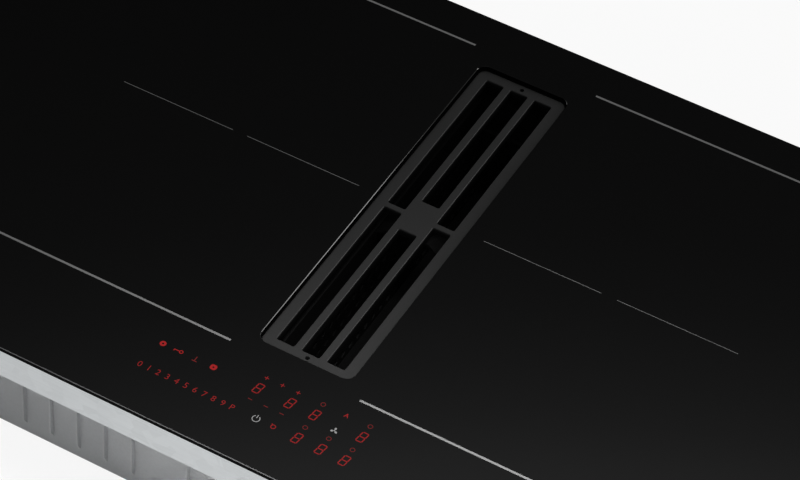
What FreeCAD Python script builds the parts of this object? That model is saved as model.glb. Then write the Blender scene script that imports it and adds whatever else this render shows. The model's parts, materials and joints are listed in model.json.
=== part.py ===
import FreeCAD
import Part
import math
import os

# Induction hob with a built-in extractor, drawn in millimetres.
# X runs to the right, Y to the back and Z up. The origin is below the middle of the glass,
# on the flat underside of the airbox.

# ------------------------------------------------------------------ glass and worktop
glass_width = 830.0
glass_depth = 515.0
glass_thickness = 4.0
glass_corner = 6.0
glass_bevel = 0.5             # polished bevel along the upper edge
depth_below_worktop = 210.0   # from the worktop's surface down to the underside
seal_thickness = 2.0
seal_width = 9.0
seal_inset = 2.0              # from the edge of the glass in to the foam seal
glass_overhang = 20.0         # glass beyond the wall of the casing

# ------------------------------------------------------------------ aperture and well
aperture_width = 80.5
aperture_front = 109.0        # from the front edge of the glass to the aperture
aperture_back = 53.0          # from the back edge of the glass to the aperture
aperture_radius = 8.0
aperture_bevel = 0.4
least_corner = 1.5            # smallest corner of the outlines inside the well
lift_clearance = 0.8          # round the pieces that lift out, under the grille
seat_gap = 0.2                # under a piece that rests on a ledge

# ------------------------------------------------------------------ inlet surround
surround_margin = 13.75       # glued flange beyond the aperture
surround_flange = 1.6
surround_wall = 1.6
surround_setback = 0.5        # pocket wall behind the edge of the aperture
grille_ledge = 3.75           # how far the grille's ledge reaches in from the aperture
ledge_thickness = 1.6
filter_ledge_drop = 14.1      # from the top of the grille's ledge to the filter's
filter_ledge = 3.0            # how far the filter's ledge reaches in past the grille's

# ------------------------------------------------------------------ grille
grille_gap = 0.75             # between the grille and the edge of the aperture
grille_radius = 7.0
grille_recess = 4.1           # top of the grille below the top of the glass
grille_thickness = 7.0
grille_round = 1.2            # rounded upper outer edge
slot_width = 15.5
slot_columns = 3
bar_width = 6.2
slot_end = 10.5               # from the end of the aperture to the slots
slot_radius = 1.4
slot_bevel = 0.4
side_bridge = 5.0             # cross bar of the outer columns
centre_pad = 35.0             # long pad of the middle column
vent_hole = 3.7
vent_hole_inset = 5.3         # from the end of the grille to the small hole
foot_thickness = 1.0
foot_width = 2.4
foot_length = 12.0
foot_corner = 1.0
foot_rows = 3

# ------------------------------------------------------------------ grease filter and drip tray
filter_rim = 1.2
filter_wall = 1.2
filter_depth = 104.0
filter_skirt = 38.0           # closed wall above the windows
filter_sill = 6.0             # closed wall below the windows
filter_windows = 4
filter_post = 10.0            # wall between two windows
mesh_thickness = 4.0
mesh_hole = 8.0
mesh_pitch = 12.0
mesh_rows = 5
mesh_corner = 2.0             # panel short of the basket's rounded corner
handle_width = 24.0
handle_rise = 10.0
handle_thickness = 2.0
tray_wall = 1.2
tray_height = 36.0
tray_tab = 5.0                # finger tab: reach, width and depth below the rim
tray_tab_width = 24.0
tray_tab_drop = 2.4
tray_drop = 6.0               # between the filter and the rim of the tray
tray_inset = 0.9              # tray inside the outline of the filter

# ------------------------------------------------------------------ casing
casing_height = 56.0
casing_sheet = 1.0
casing_lip = 8.0
casing_rim = 10.0             # upturned rim of the floor, inside the walls
casing_corner = 4.0
well_clearance = 1.2          # round the collar of the airbox
vent_slot_width = 4.0
vent_slot_pitch = 8.0
rim_screw_spacing = 150.0
rim_screws_long = (-2, 0, 2)   # places in front and behind, in spacings from the middle
rim_screws_short = (-0.5, 0.5) # places on each side
wall_slots = 14
wall_slot_height = 22.0

# ------------------------------------------------------------------ cooking zones
zone_gap = 15.05              # from the aperture to the inner ends of the zone marks
zone_width = 216.5
zone_front = 96.7             # from the front edge of the glass to the zone marks
zone_back = 36.9              # from the back edge of the glass to the zone marks
coil_margin = 8.0
coil_hole = 58.7              # depth of the hole in the wound band
coil_corner = 55.0
coil_hole_corner = 20.0
coil_thickness = 5.5
mica_thickness = 1.0
former_thickness = 2.5
former_hub_wall = 2.0
former_hub_gap = 0.5
ferrite_count = 8
ferrite_length = 50.0
ferrite_width = 12.0
ferrite_thickness = 5.0
ferrite_inner = 26.0          # from the coil's middle to the inner end of a bar
sensor_radius = 4.0
carrier_thickness = 1.5
carrier_margin = 5.0          # carrier plate beyond the zones
post_radius = 5.0
post_inset = 8.0
pad_height = 6.0

# ------------------------------------------------------------------ power electronics
board_width = 196.0
board_length = 320.0
board_back = 36.5             # from the back wall of the casing
board_corner = 2.0
board_rise = 8.0
board_thickness = 1.6
standoff_radius = 4.0
standoff_inset = 8.0
heatsink_width = 62.0
heatsink_length = 200.0
heatsink_height = 26.0
heatsink_base = 5.0
heatsink_fins = 9
heatsink_fin = 2.0
heatsink_offset = 40.0        # from the middle of the board, outwards
transistor_count = 4
transistor_size = 16.0
transistor_height = 20.0
transistor_thickness = 5.0
capacitor_count = 3
capacitor_radius = 11.0
capacitor_height = 26.0
choke_outer = 17.0
choke_inner = 8.0
choke_height = 14.0
component_row = 62.0          # from the middle of the board, inwards
component_pitch = 33.0
component_offset = 80.0       # from the middle of the board to the back and the front

# ------------------------------------------------------------------ cooling fans
fan_size = 80.0
fan_height = 22.0
fan_gap = 1.0                 # from the frame to the rim of the casing's floor
fan_back = 117.5              # from the back wall of the casing to the axis
fan_corner = 6.0
fan_bore = 37.5
fan_tip_gap = 1.2
fan_hub = 15.0
fan_plate = 2.0
fan_blades = 7
fan_spokes = 4
fan_spoke_width = 4.0
fan_pin = 1.5
fan_pin_clearance = 0.05
fan_vent_radius = 33.0

# ------------------------------------------------------------------ touch controls
panel_left = 112.0            # from the middle of the glass to the left
panel_right = 92.0            # from the middle of the glass to the right
panel_front = 29.5            # from the front edge of the glass
panel_back = 87.5             # from the front edge of the glass
panel_corner = 3.0
panel_height = 8.0
panel_board = 1.6
panel_post = 4.0
panel_post_inset = 7.0
display_width = 10.0
display_height = 14.0
display_thickness = 7.5
display_corner = 0.5
display_gap = 0.2
pad_radius = 3.0
pad_gap = 0.3
bottom_keys = 41.5            # rows of keys, each from the front edge of the glass
ring_keys = 53.2
minus_keys = 55.2
middle_keys = 67.2
plus_keys = 79.1
slider_left = 99.4            # columns, each from the middle of the glass
slider_pitch = 7.92
slider_keys = 11
symbol_left = 95.7
symbol_pitch = 14.57
symbol_keys = 4
step_pitch = 13.4
chime_right = 14.5
timer_right = 34.5
timer_pitch = 19.8
timer_keys = 3

# ------------------------------------------------------------------ mains entry
mains_side = 65.0             # from the right wall of the casing
mains_back = 29.5             # from the back wall of the casing
gland_bore = 6.0
gland_thread = 7.9
gland_flats = 22.0
gland_height = 18.0
gland_hex = 6.0
gland_nut = 4.0
gland_dome = 10.0
gland_round = 3.0
gland_thread_end = 2.0        # thread beyond the lock nut
terminal_width = 60.0
terminal_depth = 18.0
terminal_height = 20.0
terminal_poles = 5
terminal_hole = 3.0
terminal_gap = 2.0            # from the lock nut of the gland to the terminal block

# ------------------------------------------------------------------ airbox
airbox_left_gap = 8.5         # from the scroll to the left wall
airbox_right_gap = 55.75      # right wall beyond the aperture
airbox_front_inset = 69.5     # behind the front wall of the casing
airbox_back_inset = 5.5       # in front of the back wall of the casing
airbox_wall = 2.5
airbox_corner = 14.0
airbox_round = 5.0            # rounded lower edge
airbox_joint = 78.0           # height of the joint between the shells
joint_flange = 8.0
joint_flange_thickness = 2.5
joint_screw_inset = 54.0      # from the corner of the airbox to the first screw
casing_screw_inset = 14.0     # from the wall of the airbox to the screws of the casing
collar_wall = 2.5
collar_inset = 0.8            # inlet collar outside the body of the filter
inlet_seal_height = 2.0
rest_offset = 110.0           # tray rests, from the middle of the well
rest_thickness = 3.0
rest_horn = 9.0
screw_shank = 2.0
screw_head = 3.8
screw_head_height = 2.4
screw_clearance = 0.1
screw_grip = 6.0

# ------------------------------------------------------------------ blower
blower_well_gap = 8.75        # from the aperture to the scroll
blower_front_gap = 148.0      # from the front wall of the airbox to the axis
blower_rise = 6.0
blower_wall = 2.0
blower_mount_radius = 10.0
scroll_start = 92.0           # inner radius where the spiral begins
scroll_step = 14.0            # growth in each quarter turn
scroll_tongue = 50.0          # degrees from +X to the tongue
scroll_height = 84.0
channel_length = 110.0        # from the axis to the outlet spigot
intake_radius = 70.0
intake_lip = 3.0
intake_rise = 8.0
impeller_radius = 85.0
impeller_height = 68.0
impeller_lift = 8.0
impeller_disc = 2.0
impeller_ring = 5.0
impeller_blades = 36
blade_length = 17.0
blade_thickness = 1.2
blade_lean = 35.0
motor_plate_radius = 55.0
motor_plate_thickness = 2.0
cup_radius = 41.0
cup_wall = 2.5
cup_height = 39.0
cup_lift = 5.5
hub_gap = 0.3
hub_wall = 2.0
shaft_radius = 4.0
shaft_clearance = 0.04
bearing_radius = 11.0
bearing_height = 7.0
bearing_gap = 0.02
tube_wall = 2.5
tube_height = 38.0
stator_foot = 1.0
stator_foot_radius = 32.0
stator_radius = 34.0
stator_height = 20.0
stator_lift = 9.0

# ------------------------------------------------------------------ outlet for flat duct
spigot_width = 218.0
spigot_height = 85.0
spigot_shift = 10.0           # right side of the spigot beyond that of the channel
spigot_wall = 2.0
spigot_neck = 21.0
spigot_reach = 11.0           # beyond the back wall of the airbox
spigot_clearance = 0.3

# ------------------------------------------------------------------ extractor control box
control_gap = 26.0            # from the joint flange of the airbox
control_corner = 4.0
control_width = 110.0
control_length = 120.0
control_height = 30.0
control_wall = 2.0

# ------------------------------------------------------------------ worktop clamps
clamp_inset = 87.5            # from the front or back wall of the casing
clamp_plate = 1.5
clamp_plate_length = 28.0
clamp_tab = 2.0
clamp_tab_length = 14.0
clamp_reach = 5.0             # from the wall of the casing to the axis of the screw
clamp_boss = 3.2
clamp_bottom = 3.0            # lower tab above the underside of the casing
clamp_top = 7.0               # upper tab below the top of the casing
clamp_screw = 2.0
clamp_running = 0.05
clamp_arm_length = 38.0
clamp_arm_height = 8.0
clamp_arm_lift = 0.5

# ------------------------------------------------------------------ general
quarter_turn = 90.0
hexagon_corners = 6
overlap = 1.0                 # by which joined shapes run into each other
sides = (-1, 1)

# ------------------------------------------------------------------ heights worked out
worktop_z = depth_below_worktop
glass_under = worktop_z + seal_thickness
glass_top = glass_under + glass_thickness
casing_bottom = glass_under - casing_height
floor_z = casing_bottom + casing_sheet
grille_top = glass_top - grille_recess
grille_bottom = grille_top - grille_thickness
ledge_z = grille_bottom - foot_thickness - seat_gap
filter_ledge_z = ledge_z - filter_ledge_drop
filter_top = filter_ledge_z + seat_gap + filter_rim
filter_bottom = filter_ledge_z + seat_gap - filter_depth
surround_bottom = filter_ledge_z - ledge_thickness
tray_top = filter_bottom - tray_drop
tray_bottom = tray_top - tray_height
mica_z = glass_under - mica_thickness
coil_z = mica_z - coil_thickness
former_z = coil_z - former_thickness
ferrite_z = former_z - ferrite_thickness
carrier_z = ferrite_z - carrier_thickness
board_z = floor_z + board_rise
board_top = board_z + board_thickness
panel_z = glass_under - panel_height
panel_board_z = panel_z - panel_board
scroll_outside = airbox_wall + blower_rise
scroll_floor = scroll_outside + blower_wall
scroll_top = scroll_floor + scroll_height
spigot_z = scroll_floor + scroll_height / 2
impeller_z = scroll_floor + impeller_lift
motor_z = scroll_floor + motor_plate_thickness
cup_z = motor_z + cup_lift
cup_top = cup_z + cup_height
gland_top = floor_z + gland_nut + gland_thread_end

# ------------------------------------------------------------------ outlines worked out
glass_front = -glass_depth / 2
casing_half_x = glass_width / 2 - glass_overhang
casing_half_y = glass_depth / 2 - glass_overhang
aperture_length = glass_depth - aperture_front - aperture_back
aperture_y = (aperture_front - aperture_back) / 2
slot_field_length = aperture_length - 2 * slot_end
filter_inset = grille_ledge + filter_ledge + lift_clearance
collar_inner_inset = filter_inset - lift_clearance - collar_inset
tray_outline = filter_inset + tray_inset
zone_inner = aperture_width / 2 + zone_gap
zone_depth = (glass_depth - zone_front - zone_back) / 2
zone_middle_y = glass_depth / 2 - zone_back - zone_depth
coil_x = zone_inner + zone_width / 2
coil_width = zone_width - 2 * coil_margin
coil_depth = zone_depth - 2 * coil_margin
coil_band = (coil_depth - coil_hole) / 2
carrier_half_x = zone_width / 2 + carrier_margin
carrier_half_y = zone_depth + carrier_margin
board_y = casing_half_y - casing_sheet - board_back - board_length / 2
fan_x = casing_half_x - 2 * casing_sheet - fan_gap - fan_size / 2
fan_y = casing_half_y - fan_back
row_bottom = glass_front + bottom_keys
row_ring = glass_front + ring_keys
row_minus = glass_front + minus_keys
row_middle = glass_front + middle_keys
row_plus = glass_front + plus_keys
panel = (-panel_left, panel_right, glass_front + panel_front, glass_front + panel_back)
mains_x = casing_half_x - mains_side
mains_y = casing_half_y - mains_back
channel_right = -aperture_width / 2 - blower_well_gap - blower_wall
scroll_x = channel_right - scroll_start - 4 * scroll_step
blower_x = scroll_x + scroll_step / 2
airbox_left = scroll_start + scroll_step + blower_wall + airbox_left_gap + airbox_wall - scroll_x
airbox_right = aperture_width / 2 + airbox_right_gap
airbox_front = casing_half_y - airbox_front_inset
airbox_back = casing_half_y - airbox_back_inset
blower_y = blower_front_gap - airbox_front
scroll_y = blower_y - scroll_step / 2
channel_left = scroll_x + scroll_start * math.cos(math.radians(scroll_tongue))
channel_end = blower_y + channel_length
spigot_x = channel_right + spigot_shift - spigot_width / 2
spigot_end = airbox_back + spigot_reach
control_x = airbox_right + joint_flange + control_gap + control_width / 2
clamp_x = casing_half_x + clamp_reach
clamp_y = casing_half_y - clamp_inset
clamp_floor = casing_bottom + clamp_bottom
clamp_ceiling = glass_under - clamp_top


def vec(x, y, z=0.0):
    return FreeCAD.Vector(x, y, z)


def block(x0, x1, y0, y1, z0, z1):
    return Part.makeBox(x1 - x0, y1 - y0, z1 - z0, vec(x0, y0, z0))


def rod(radius, x, y, z0, z1):
    return Part.makeCylinder(radius, z1 - z0, vec(x, y, z0))


def tube(outer, inner, x, y, z0, z1):
    return rod(outer, x, y, z0, z1).cut(rod(inner, x, y, z0, z1))


def arc_edge(centre, radius, start, end):
    """Arc in the plane of its centre, between two angles in degrees."""
    angles = [math.radians(start + (end - start) * part) for part in (0.0, 0.5, 1.0)]
    points = [centre + vec(radius * math.cos(a), radius * math.sin(a)) for a in angles]
    return Part.Arc(*points).toShape()


def closed_wire(edges):
    """Join the edges in turn with straight lines into one closed outline."""
    joined = []
    for edge, following in zip(edges, edges[1:] + edges[:1]):
        joined.append(edge)
        start = edge.valueAt(edge.LastParameter)
        end = following.valueAt(following.FirstParameter)
        if start.distanceToPoint(end) > 1e-6:
            joined.append(Part.LineSegment(start, end).toShape())
    return Part.Wire(joined)


def prism(wire, height):
    return Part.Face(wire).extrude(vec(0, 0, height))


def plate(width, length, radius, z0, z1, x=0.0, y=0.0):
    """Flat plate with four round corners, centred on x, y."""
    half_x = width / 2
    half_y = length / 2
    corners = ((1, 1), (-1, 1), (-1, -1), (1, -1))
    arcs = []
    for turn, (side_x, side_y) in enumerate(corners):
        centre = vec(x + side_x * (half_x - radius), y + side_y * (half_y - radius), z0)
        start = quarter_turn * turn
        arcs.append(arc_edge(centre, radius, start, start + quarter_turn))
    return prism(closed_wire(arcs), z1 - z0)


def plate_between(x0, x1, y0, y1, radius, z0, z1):
    return plate(x1 - x0, y1 - y0, radius, z0, z1, (x0 + x1) / 2, (y0 + y1) / 2)


def well_plate(inset, z0, z1):
    """Plate with the outline of the aperture drawn in by the inset."""
    radius = max(aperture_radius - inset, least_corner)
    width = aperture_width - 2 * inset
    length = aperture_length - 2 * inset
    return plate(width, length, radius, z0, z1, 0.0, aperture_y)


def well_ring(outer_inset, inner_inset, z0, z1):
    return well_plate(outer_inset, z0, z1).cut(well_plate(inner_inset, z0, z1))


def hexagon(flats, x, y, z0, z1):
    radius = flats / math.sqrt(3)
    angles = [2 * math.pi * corner / hexagon_corners for corner in range(hexagon_corners + 1)]
    points = [vec(x + radius * math.cos(a), y + radius * math.sin(a), z0) for a in angles]
    return prism(Part.makePolygon(points), z1 - z0)


def join(shapes):
    return shapes[0].multiFuse(shapes[1:]).removeSplitter()


def carve(body, tools):
    return body.cut(Part.makeCompound(tools))


def level_edges(shape, z):
    """Edges that lie in the plane of height z."""
    chosen = []
    for edge in shape.Edges:
        box = edge.BoundBox
        if abs(box.ZMin - z) < 1e-4 and abs(box.ZMax - z) < 1e-4:
            chosen.append(edge)
    return chosen


def edges_within(shape, z, half_x, half_y):
    """Edges at height z inside a rectangle round the middle of the aperture."""
    chosen = []
    for edge in level_edges(shape, z):
        box = edge.BoundBox
        across = max(abs(box.XMin), abs(box.XMax))
        along = max(abs(box.YMin - aperture_y), abs(box.YMax - aperture_y))
        if across < half_x and along < half_y:
            chosen.append(edge)
    return chosen


def mirrored(shape, side):
    """The shape as drawn for the right side, or its image for the left."""
    if side > 0:
        return shape
    return shape.mirror(vec(0, 0, 0), vec(1, 0, 0))


def save(name, solids):
    shape = solids[0] if len(solids) == 1 else Part.makeCompound(solids)
    shape.exportStep("parts/" + name + ".step")
    bodies = shape.Solids
    good = all(body.isValid() and body.isClosed() for body in bodies)
    print("%-24s %3d solid(s)  %11.1f mm3  %s" % (name, len(bodies), shape.Volume, good))


# ------------------------------------------------------------------ glass, seal and surround
def glass_plate():
    """The glass with its aperture; both upper edges carry a polished bevel."""
    body = plate(glass_width, glass_depth, glass_corner, glass_under, glass_top)
    body = body.makeChamfer(glass_bevel, level_edges(body, glass_top))
    body = body.cut(well_plate(0.0, glass_under, glass_top))
    rim = edges_within(body, glass_top, aperture_width / 2 + overlap, aperture_length / 2 + overlap)
    return body.makeChamfer(aperture_bevel, rim)


def worktop_seal():
    outer_x = glass_width - 2 * seal_inset
    outer_y = glass_depth - 2 * seal_inset
    outer = plate(outer_x, outer_y, glass_corner, worktop_z, glass_under)
    inner_x = outer_x - 2 * seal_width
    inner_y = outer_y - 2 * seal_width
    return outer.cut(plate(inner_x, inner_y, glass_corner, worktop_z, glass_under))


def inlet_surround():
    """Collar glued under the aperture, with a ledge for the grille and one for the filter."""
    flange_z = glass_under - surround_flange
    pocket = -surround_setback
    skirt = grille_ledge - surround_wall
    body = join([
        well_plate(-surround_margin, flange_z, glass_under),
        well_plate(pocket - surround_wall, ledge_z - ledge_thickness, glass_under),
        well_plate(skirt, surround_bottom, ledge_z),
    ])
    body = body.cut(well_plate(pocket, ledge_z, glass_under))
    body = body.cut(well_plate(grille_ledge, filter_ledge_z, ledge_z))
    return body.cut(well_plate(grille_ledge + filter_ledge, surround_bottom, filter_ledge_z))


def inlet_seal():
    """Foam ring between the collar of the airbox and the underside of the surround."""
    low = surround_bottom - inlet_seal_height
    return well_ring(collar_inner_inset - collar_wall, collar_inner_inset, low, surround_bottom)


# ------------------------------------------------------------------ grille
def slot_spans(column):
    """Start and end of each slot of a column, from the middle of the grille."""
    half = slot_field_length / 2
    middle = column == (slot_columns - 1) / 2
    bridge = (centre_pad if middle else side_bridge) / 2
    return ((-half, -bridge), (bridge, half))


def slot_tool(x, y0, y1, grow, z0, z1):
    """Prism of one slot, grown by a bevel's width."""
    width = slot_width + 2 * grow
    length = y1 - y0 + 2 * grow
    return plate(width, length, slot_radius + grow, z0, z1, x, aperture_y + (y0 + y1) / 2)


def grille():
    """Cast grille: three columns of slots, a pad in the middle and two small holes."""
    width = aperture_width - 2 * grille_gap
    length = aperture_length - 2 * grille_gap
    body = plate(width, length, grille_radius, grille_bottom, grille_top, 0.0, aperture_y)
    body = body.makeFillet(grille_round, level_edges(body, grille_top))
    tools = []
    pitch = slot_width + bar_width
    for column in range(slot_columns):
        x = (column - (slot_columns - 1) / 2) * pitch
        for y0, y1 in slot_spans(column):
            tools.append(slot_tool(x, y0, y1, 0.0, grille_bottom, grille_top))
    for side in sides:
        y = aperture_y + side * (length / 2 - vent_hole_inset)
        tools.append(rod(vent_hole / 2, 0.0, y, grille_bottom, grille_top))
    body = carve(body, tools)
    reach = width / 2 - grille_round - seat_gap
    rims = edges_within(body, grille_top, reach, slot_field_length / 2 + seat_gap)
    return body.makeChamfer(slot_bevel, rims)


def grille_feet():
    """Silicone feet under the long sides of the grille."""
    x = aperture_width / 2 - grille_gap - foot_width / 2 - (grille_ledge - grille_gap - foot_width) / 2
    spacing = (aperture_length - 2 * aperture_radius - foot_length) / (foot_rows - 1)
    low = grille_bottom - foot_thickness
    feet = []
    for side in sides:
        for row in range(foot_rows):
            y = aperture_y + (row - (foot_rows - 1) / 2) * spacing
            feet.append(plate(foot_width, foot_length, foot_corner, low, grille_bottom, side * x, y))
    return feet


# ------------------------------------------------------------------ grease filter and drip tray
def filter_body_size():
    return aperture_width - 2 * filter_inset, aperture_length - 2 * filter_inset


def filter_frame():
    """Steel basket: a rim that hangs on the ledge, a closed skirt and windows below it."""
    low = filter_bottom
    rim_low = filter_top - filter_rim
    inner = filter_inset + filter_wall
    rim_outer = grille_ledge + lift_clearance
    body = join([
        well_plate(rim_outer, rim_low, filter_top),
        well_plate(filter_inset, low, filter_top),
    ])
    body = body.cut(well_plate(inner, low + filter_wall, filter_top))
    width, length = filter_body_size()
    sill = low + filter_wall + filter_sill
    lintel = rim_low - filter_skirt
    span = length - 2 * filter_post
    window = (span - (filter_windows - 1) * filter_post) / filter_windows
    tools = []
    for number in range(filter_windows):
        y = aperture_y - span / 2 + number * (window + filter_post)
        tools.append(block(-width, width, y, y + window, sill, lintel))
    end = width / 2 - filter_post
    y0 = aperture_y - length
    tools.append(block(-end, end, y0, aperture_y + length, sill, lintel))
    return carve(body, tools)


def mesh_panel(length, low, high):
    """Flat panel along Y with rows of diamond holes; its outer face lies at x = 0."""
    body = block(-mesh_thickness, 0, -length / 2, length / 2, low, high)
    count = int(length / mesh_pitch) - 1
    row_height = (high - low) / mesh_rows
    half = mesh_hole / 2
    tools = []
    for row in range(mesh_rows):
        z = low + (row + 0.5) * row_height
        shift = mesh_pitch / 2 if row % 2 else 0.0
        for number in range(count):
            y = (number - count / 2) * mesh_pitch + shift
            points = [vec(-mesh_thickness, y - half, z), vec(-mesh_thickness, y, z - half),
                      vec(-mesh_thickness, y + half, z), vec(-mesh_thickness, y, z + half)]
            outline = Part.makePolygon(points + points[:1])
            tools.append(Part.Face(outline).extrude(vec(mesh_thickness, 0, 0)))
    return carve(body, tools)


def filter_mesh():
    """Four panels of expanded metal inside the basket, behind its windows."""
    half_x = aperture_width / 2 - filter_inset - filter_wall
    half_y = aperture_length / 2 - filter_inset - filter_wall
    low = filter_bottom + filter_wall
    high = filter_top - filter_rim - filter_skirt + filter_sill
    side_length = 2 * (half_y - mesh_corner)
    end_length = 2 * (half_x - mesh_thickness - seat_gap)
    panels = []
    for turn, (length, reach) in enumerate(((side_length, half_x), (end_length, half_y)) * 2):
        panel_body = mesh_panel(length, low, high)
        panel_body.translate(vec(reach, 0))
        panel_body.rotate(vec(0, 0, 0), vec(0, 0, 1), quarter_turn * turn)
        panel_body.translate(vec(0, aperture_y))
        panels.append(panel_body)
    return panels


def filter_handle():
    """Bent strap across the basket, to lift it by."""
    reach = filter_body_size()[0] / 2 - filter_wall
    low = filter_top - handle_rise
    y0 = aperture_y - handle_width / 2
    points = [vec(-reach, y0, low), vec(-reach, y0, filter_top - handle_thickness),
              vec(-reach / 2, y0, filter_top + handle_rise),
              vec(reach / 2, y0, filter_top + handle_rise),
              vec(reach, y0, filter_top - handle_thickness), vec(reach, y0, low),
              vec(reach - handle_thickness, y0, low),
              vec(reach - handle_thickness, y0, filter_top - handle_thickness),
              vec(reach / 2 - handle_thickness, y0, filter_top + handle_rise - handle_thickness),
              vec(handle_thickness - reach / 2, y0, filter_top + handle_rise - handle_thickness),
              vec(handle_thickness - reach, y0, filter_top - handle_thickness),
              vec(handle_thickness - reach, y0, low)]
    return Part.Face(Part.makePolygon(points + points[:1])).extrude(vec(0, handle_width, 0))


def drip_tray():
    """Open trough with a finger tab at each end."""
    body = well_plate(tray_outline, tray_bottom, tray_top)
    body = body.cut(well_plate(tray_outline + tray_wall, tray_bottom + tray_wall, tray_top))
    end = aperture_length / 2 - tray_outline - tray_wall
    low = tray_top - tray_tab_drop - tray_wall
    tabs = []
    for side in sides:
        y0 = aperture_y + min(side * end, side * (end - tray_tab))
        tabs.append(block(-tray_tab_width / 2, tray_tab_width / 2, y0, y0 + tray_tab,
                          low, low + tray_wall))
    return join([body] + tabs)


# ------------------------------------------------------------------ casing of the hob
def fan_vents(side):
    """Slots of the casing floor under one fan."""
    slots = []
    count = int(2 * fan_vent_radius / vent_slot_pitch)
    for number in range(count):
        y = (number - (count - 1) / 2) * vent_slot_pitch
        half = math.sqrt(fan_vent_radius ** 2 - y ** 2)
        slots.append(plate(2 * half, vent_slot_width, vent_slot_width / 2, casing_bottom, floor_z,
                           side * fan_x, fan_y + y))
    return slots


def wall_vents():
    """Upright slots in the back wall of the casing, where the cooling air leaves."""
    slots = []
    low = casing_bottom + casing_rim + vent_slot_width
    for side in sides:
        for number in range(wall_slots):
            x = side * (zone_inner + number * vent_slot_pitch)
            slots.append(block(x - vent_slot_width / 2, x + vent_slot_width / 2,
                               casing_half_y - casing_sheet, casing_half_y,
                               low, low + wall_slot_height))
    return slots


def casing_screw_places():
    """Screws that hold the airbox up to the floor of the casing."""
    near = airbox_wall + casing_screw_inset
    left = -airbox_left + near
    right = airbox_right - near
    middle = (left + right) / 2
    front = -airbox_front + near
    back = airbox_back - near
    return [(x, y) for x in (left, middle, right) for y in (front, back)]


def rim_screw(length, clearance):
    """Screw along -Y through the walls' lower edge into the rim of the floor, its head at y = 0."""
    shank = Part.makeCylinder(screw_shank + clearance, length, vec(0, 0), vec(0, -1, 0))
    if clearance:
        return shank
    head = Part.makeCylinder(screw_head, screw_head_height, vec(0, 0), vec(0, 1, 0))
    return join([head, shank])


def rim_screws(length, clearance):
    """The screws round the casing: three in front and behind, two on each side."""
    z = casing_bottom + casing_rim / 2 + casing_sheet / 2
    screws = []
    for turn in range(4):
        long_side = turn % 2 == 0
        reach = casing_half_y if long_side else casing_half_x
        for place in rim_screws_long if long_side else rim_screws_short:
            screw = rim_screw(length, clearance)
            screw.translate(vec(place * rim_screw_spacing, reach, z))
            screw.rotate(vec(0, 0, 0), vec(0, 0, 1), quarter_turn * turn)
            screws.append(screw)
    return screws


def casing_tray():
    """Sheet-steel floor with an upturned rim; the walls stand round it."""
    half_x = casing_half_x - casing_sheet
    half_y = casing_half_y - casing_sheet
    corner = casing_corner - casing_sheet
    outer = plate(2 * half_x, 2 * half_y, corner, casing_bottom, casing_bottom + casing_rim)
    inner = plate(2 * half_x - 2 * casing_sheet, 2 * half_y - 2 * casing_sheet,
                  corner - casing_sheet, floor_z, casing_bottom + casing_rim)
    opening = well_plate(collar_inner_inset - collar_wall - well_clearance, casing_bottom, floor_z)
    tools = fan_vents(-1) + fan_vents(1) + rim_screws(2 * casing_sheet, screw_clearance)
    tools.append(rod(gland_thread + screw_clearance, mains_x, mains_y, casing_bottom, floor_z))
    for x, y in casing_screw_places():
        tools.append(rod(screw_shank + screw_clearance, x, y, casing_bottom, floor_z))
    return carve(outer.cut(inner).cut(opening), tools)


def casing_frame():
    """Walls of the casing, with a turned-in lip glued to the underside of the glass."""
    outer = plate(2 * casing_half_x, 2 * casing_half_y, casing_corner, casing_bottom, glass_under)
    wall = 2 * casing_sheet
    inner = plate(2 * casing_half_x - wall, 2 * casing_half_y - wall,
                  casing_corner - casing_sheet, casing_bottom, glass_under - casing_sheet)
    lip = 2 * casing_lip
    mouth = plate(2 * casing_half_x - lip, 2 * casing_half_y - lip, casing_corner,
                  glass_under - casing_sheet, glass_under)
    tools = wall_vents() + rim_screws(2 * casing_sheet, screw_clearance)
    return carve(outer.cut(inner).cut(mouth), tools)


def casing_screws():
    screws = rim_screws(2 * screw_head_height, 0.0)
    for x, y in casing_screw_places():
        head = rod(screw_head, x, y, floor_z, floor_z + screw_head_height)
        shank = rod(screw_shank, x, y, casing_bottom - screw_grip, floor_z)
        screws.append(join([head, shank]))
    return screws


# ------------------------------------------------------------------ coils
def coil_places():
    """Middle of each of the four coils."""
    places = []
    for side in sides:
        for row in sides:
            places.append((side * coil_x, zone_middle_y + row * zone_depth / 2))
    return places


def coil_plate(inset, corner, z0, z1, x, y):
    """Plate with the coil's rounded outline, drawn in by the inset."""
    return plate(coil_width - 2 * inset, coil_depth - 2 * inset, corner, z0, z1, x, y)


def coil_windings():
    """Flat bands of litz wire, one on each former."""
    windings = []
    for x, y in coil_places():
        band = coil_plate(0.0, coil_corner, coil_z, mica_z, x, y)
        windings.append(band.cut(coil_plate(coil_band, coil_hole_corner, coil_z, mica_z, x, y)))
    return windings


def coil_formers():
    """Plastic plates that carry the windings, each with an upright hub in the hole of its coil."""
    formers = []
    outer = coil_band + former_hub_gap
    inner = outer + former_hub_wall
    for x, y in coil_places():
        base = coil_plate(0.0, coil_corner, former_z, coil_z, x, y)
        hub = coil_plate(outer, coil_hole_corner - former_hub_gap, coil_z, mica_z, x, y)
        hole = coil_plate(inner, coil_hole_corner - former_hub_wall, coil_z, mica_z, x, y)
        formers.append(join([base, hub.cut(hole)]))
    return formers


def ferrite_bars():
    bars = []
    for x, y in coil_places():
        for number in range(ferrite_count):
            bar = block(ferrite_inner, ferrite_inner + ferrite_length,
                        -ferrite_width / 2, ferrite_width / 2, ferrite_z, former_z)
            bar.rotate(vec(0, 0, 0), vec(0, 0, 1), 4 * quarter_turn * number / ferrite_count)
            bar.translate(vec(x, y))
            bars.append(bar)
    return bars


def mica_sheets():
    sheets = []
    for x, y in coil_places():
        sheets.append(plate(coil_width, coil_depth, coil_corner, mica_z, glass_under, x, y))
    return sheets


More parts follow.
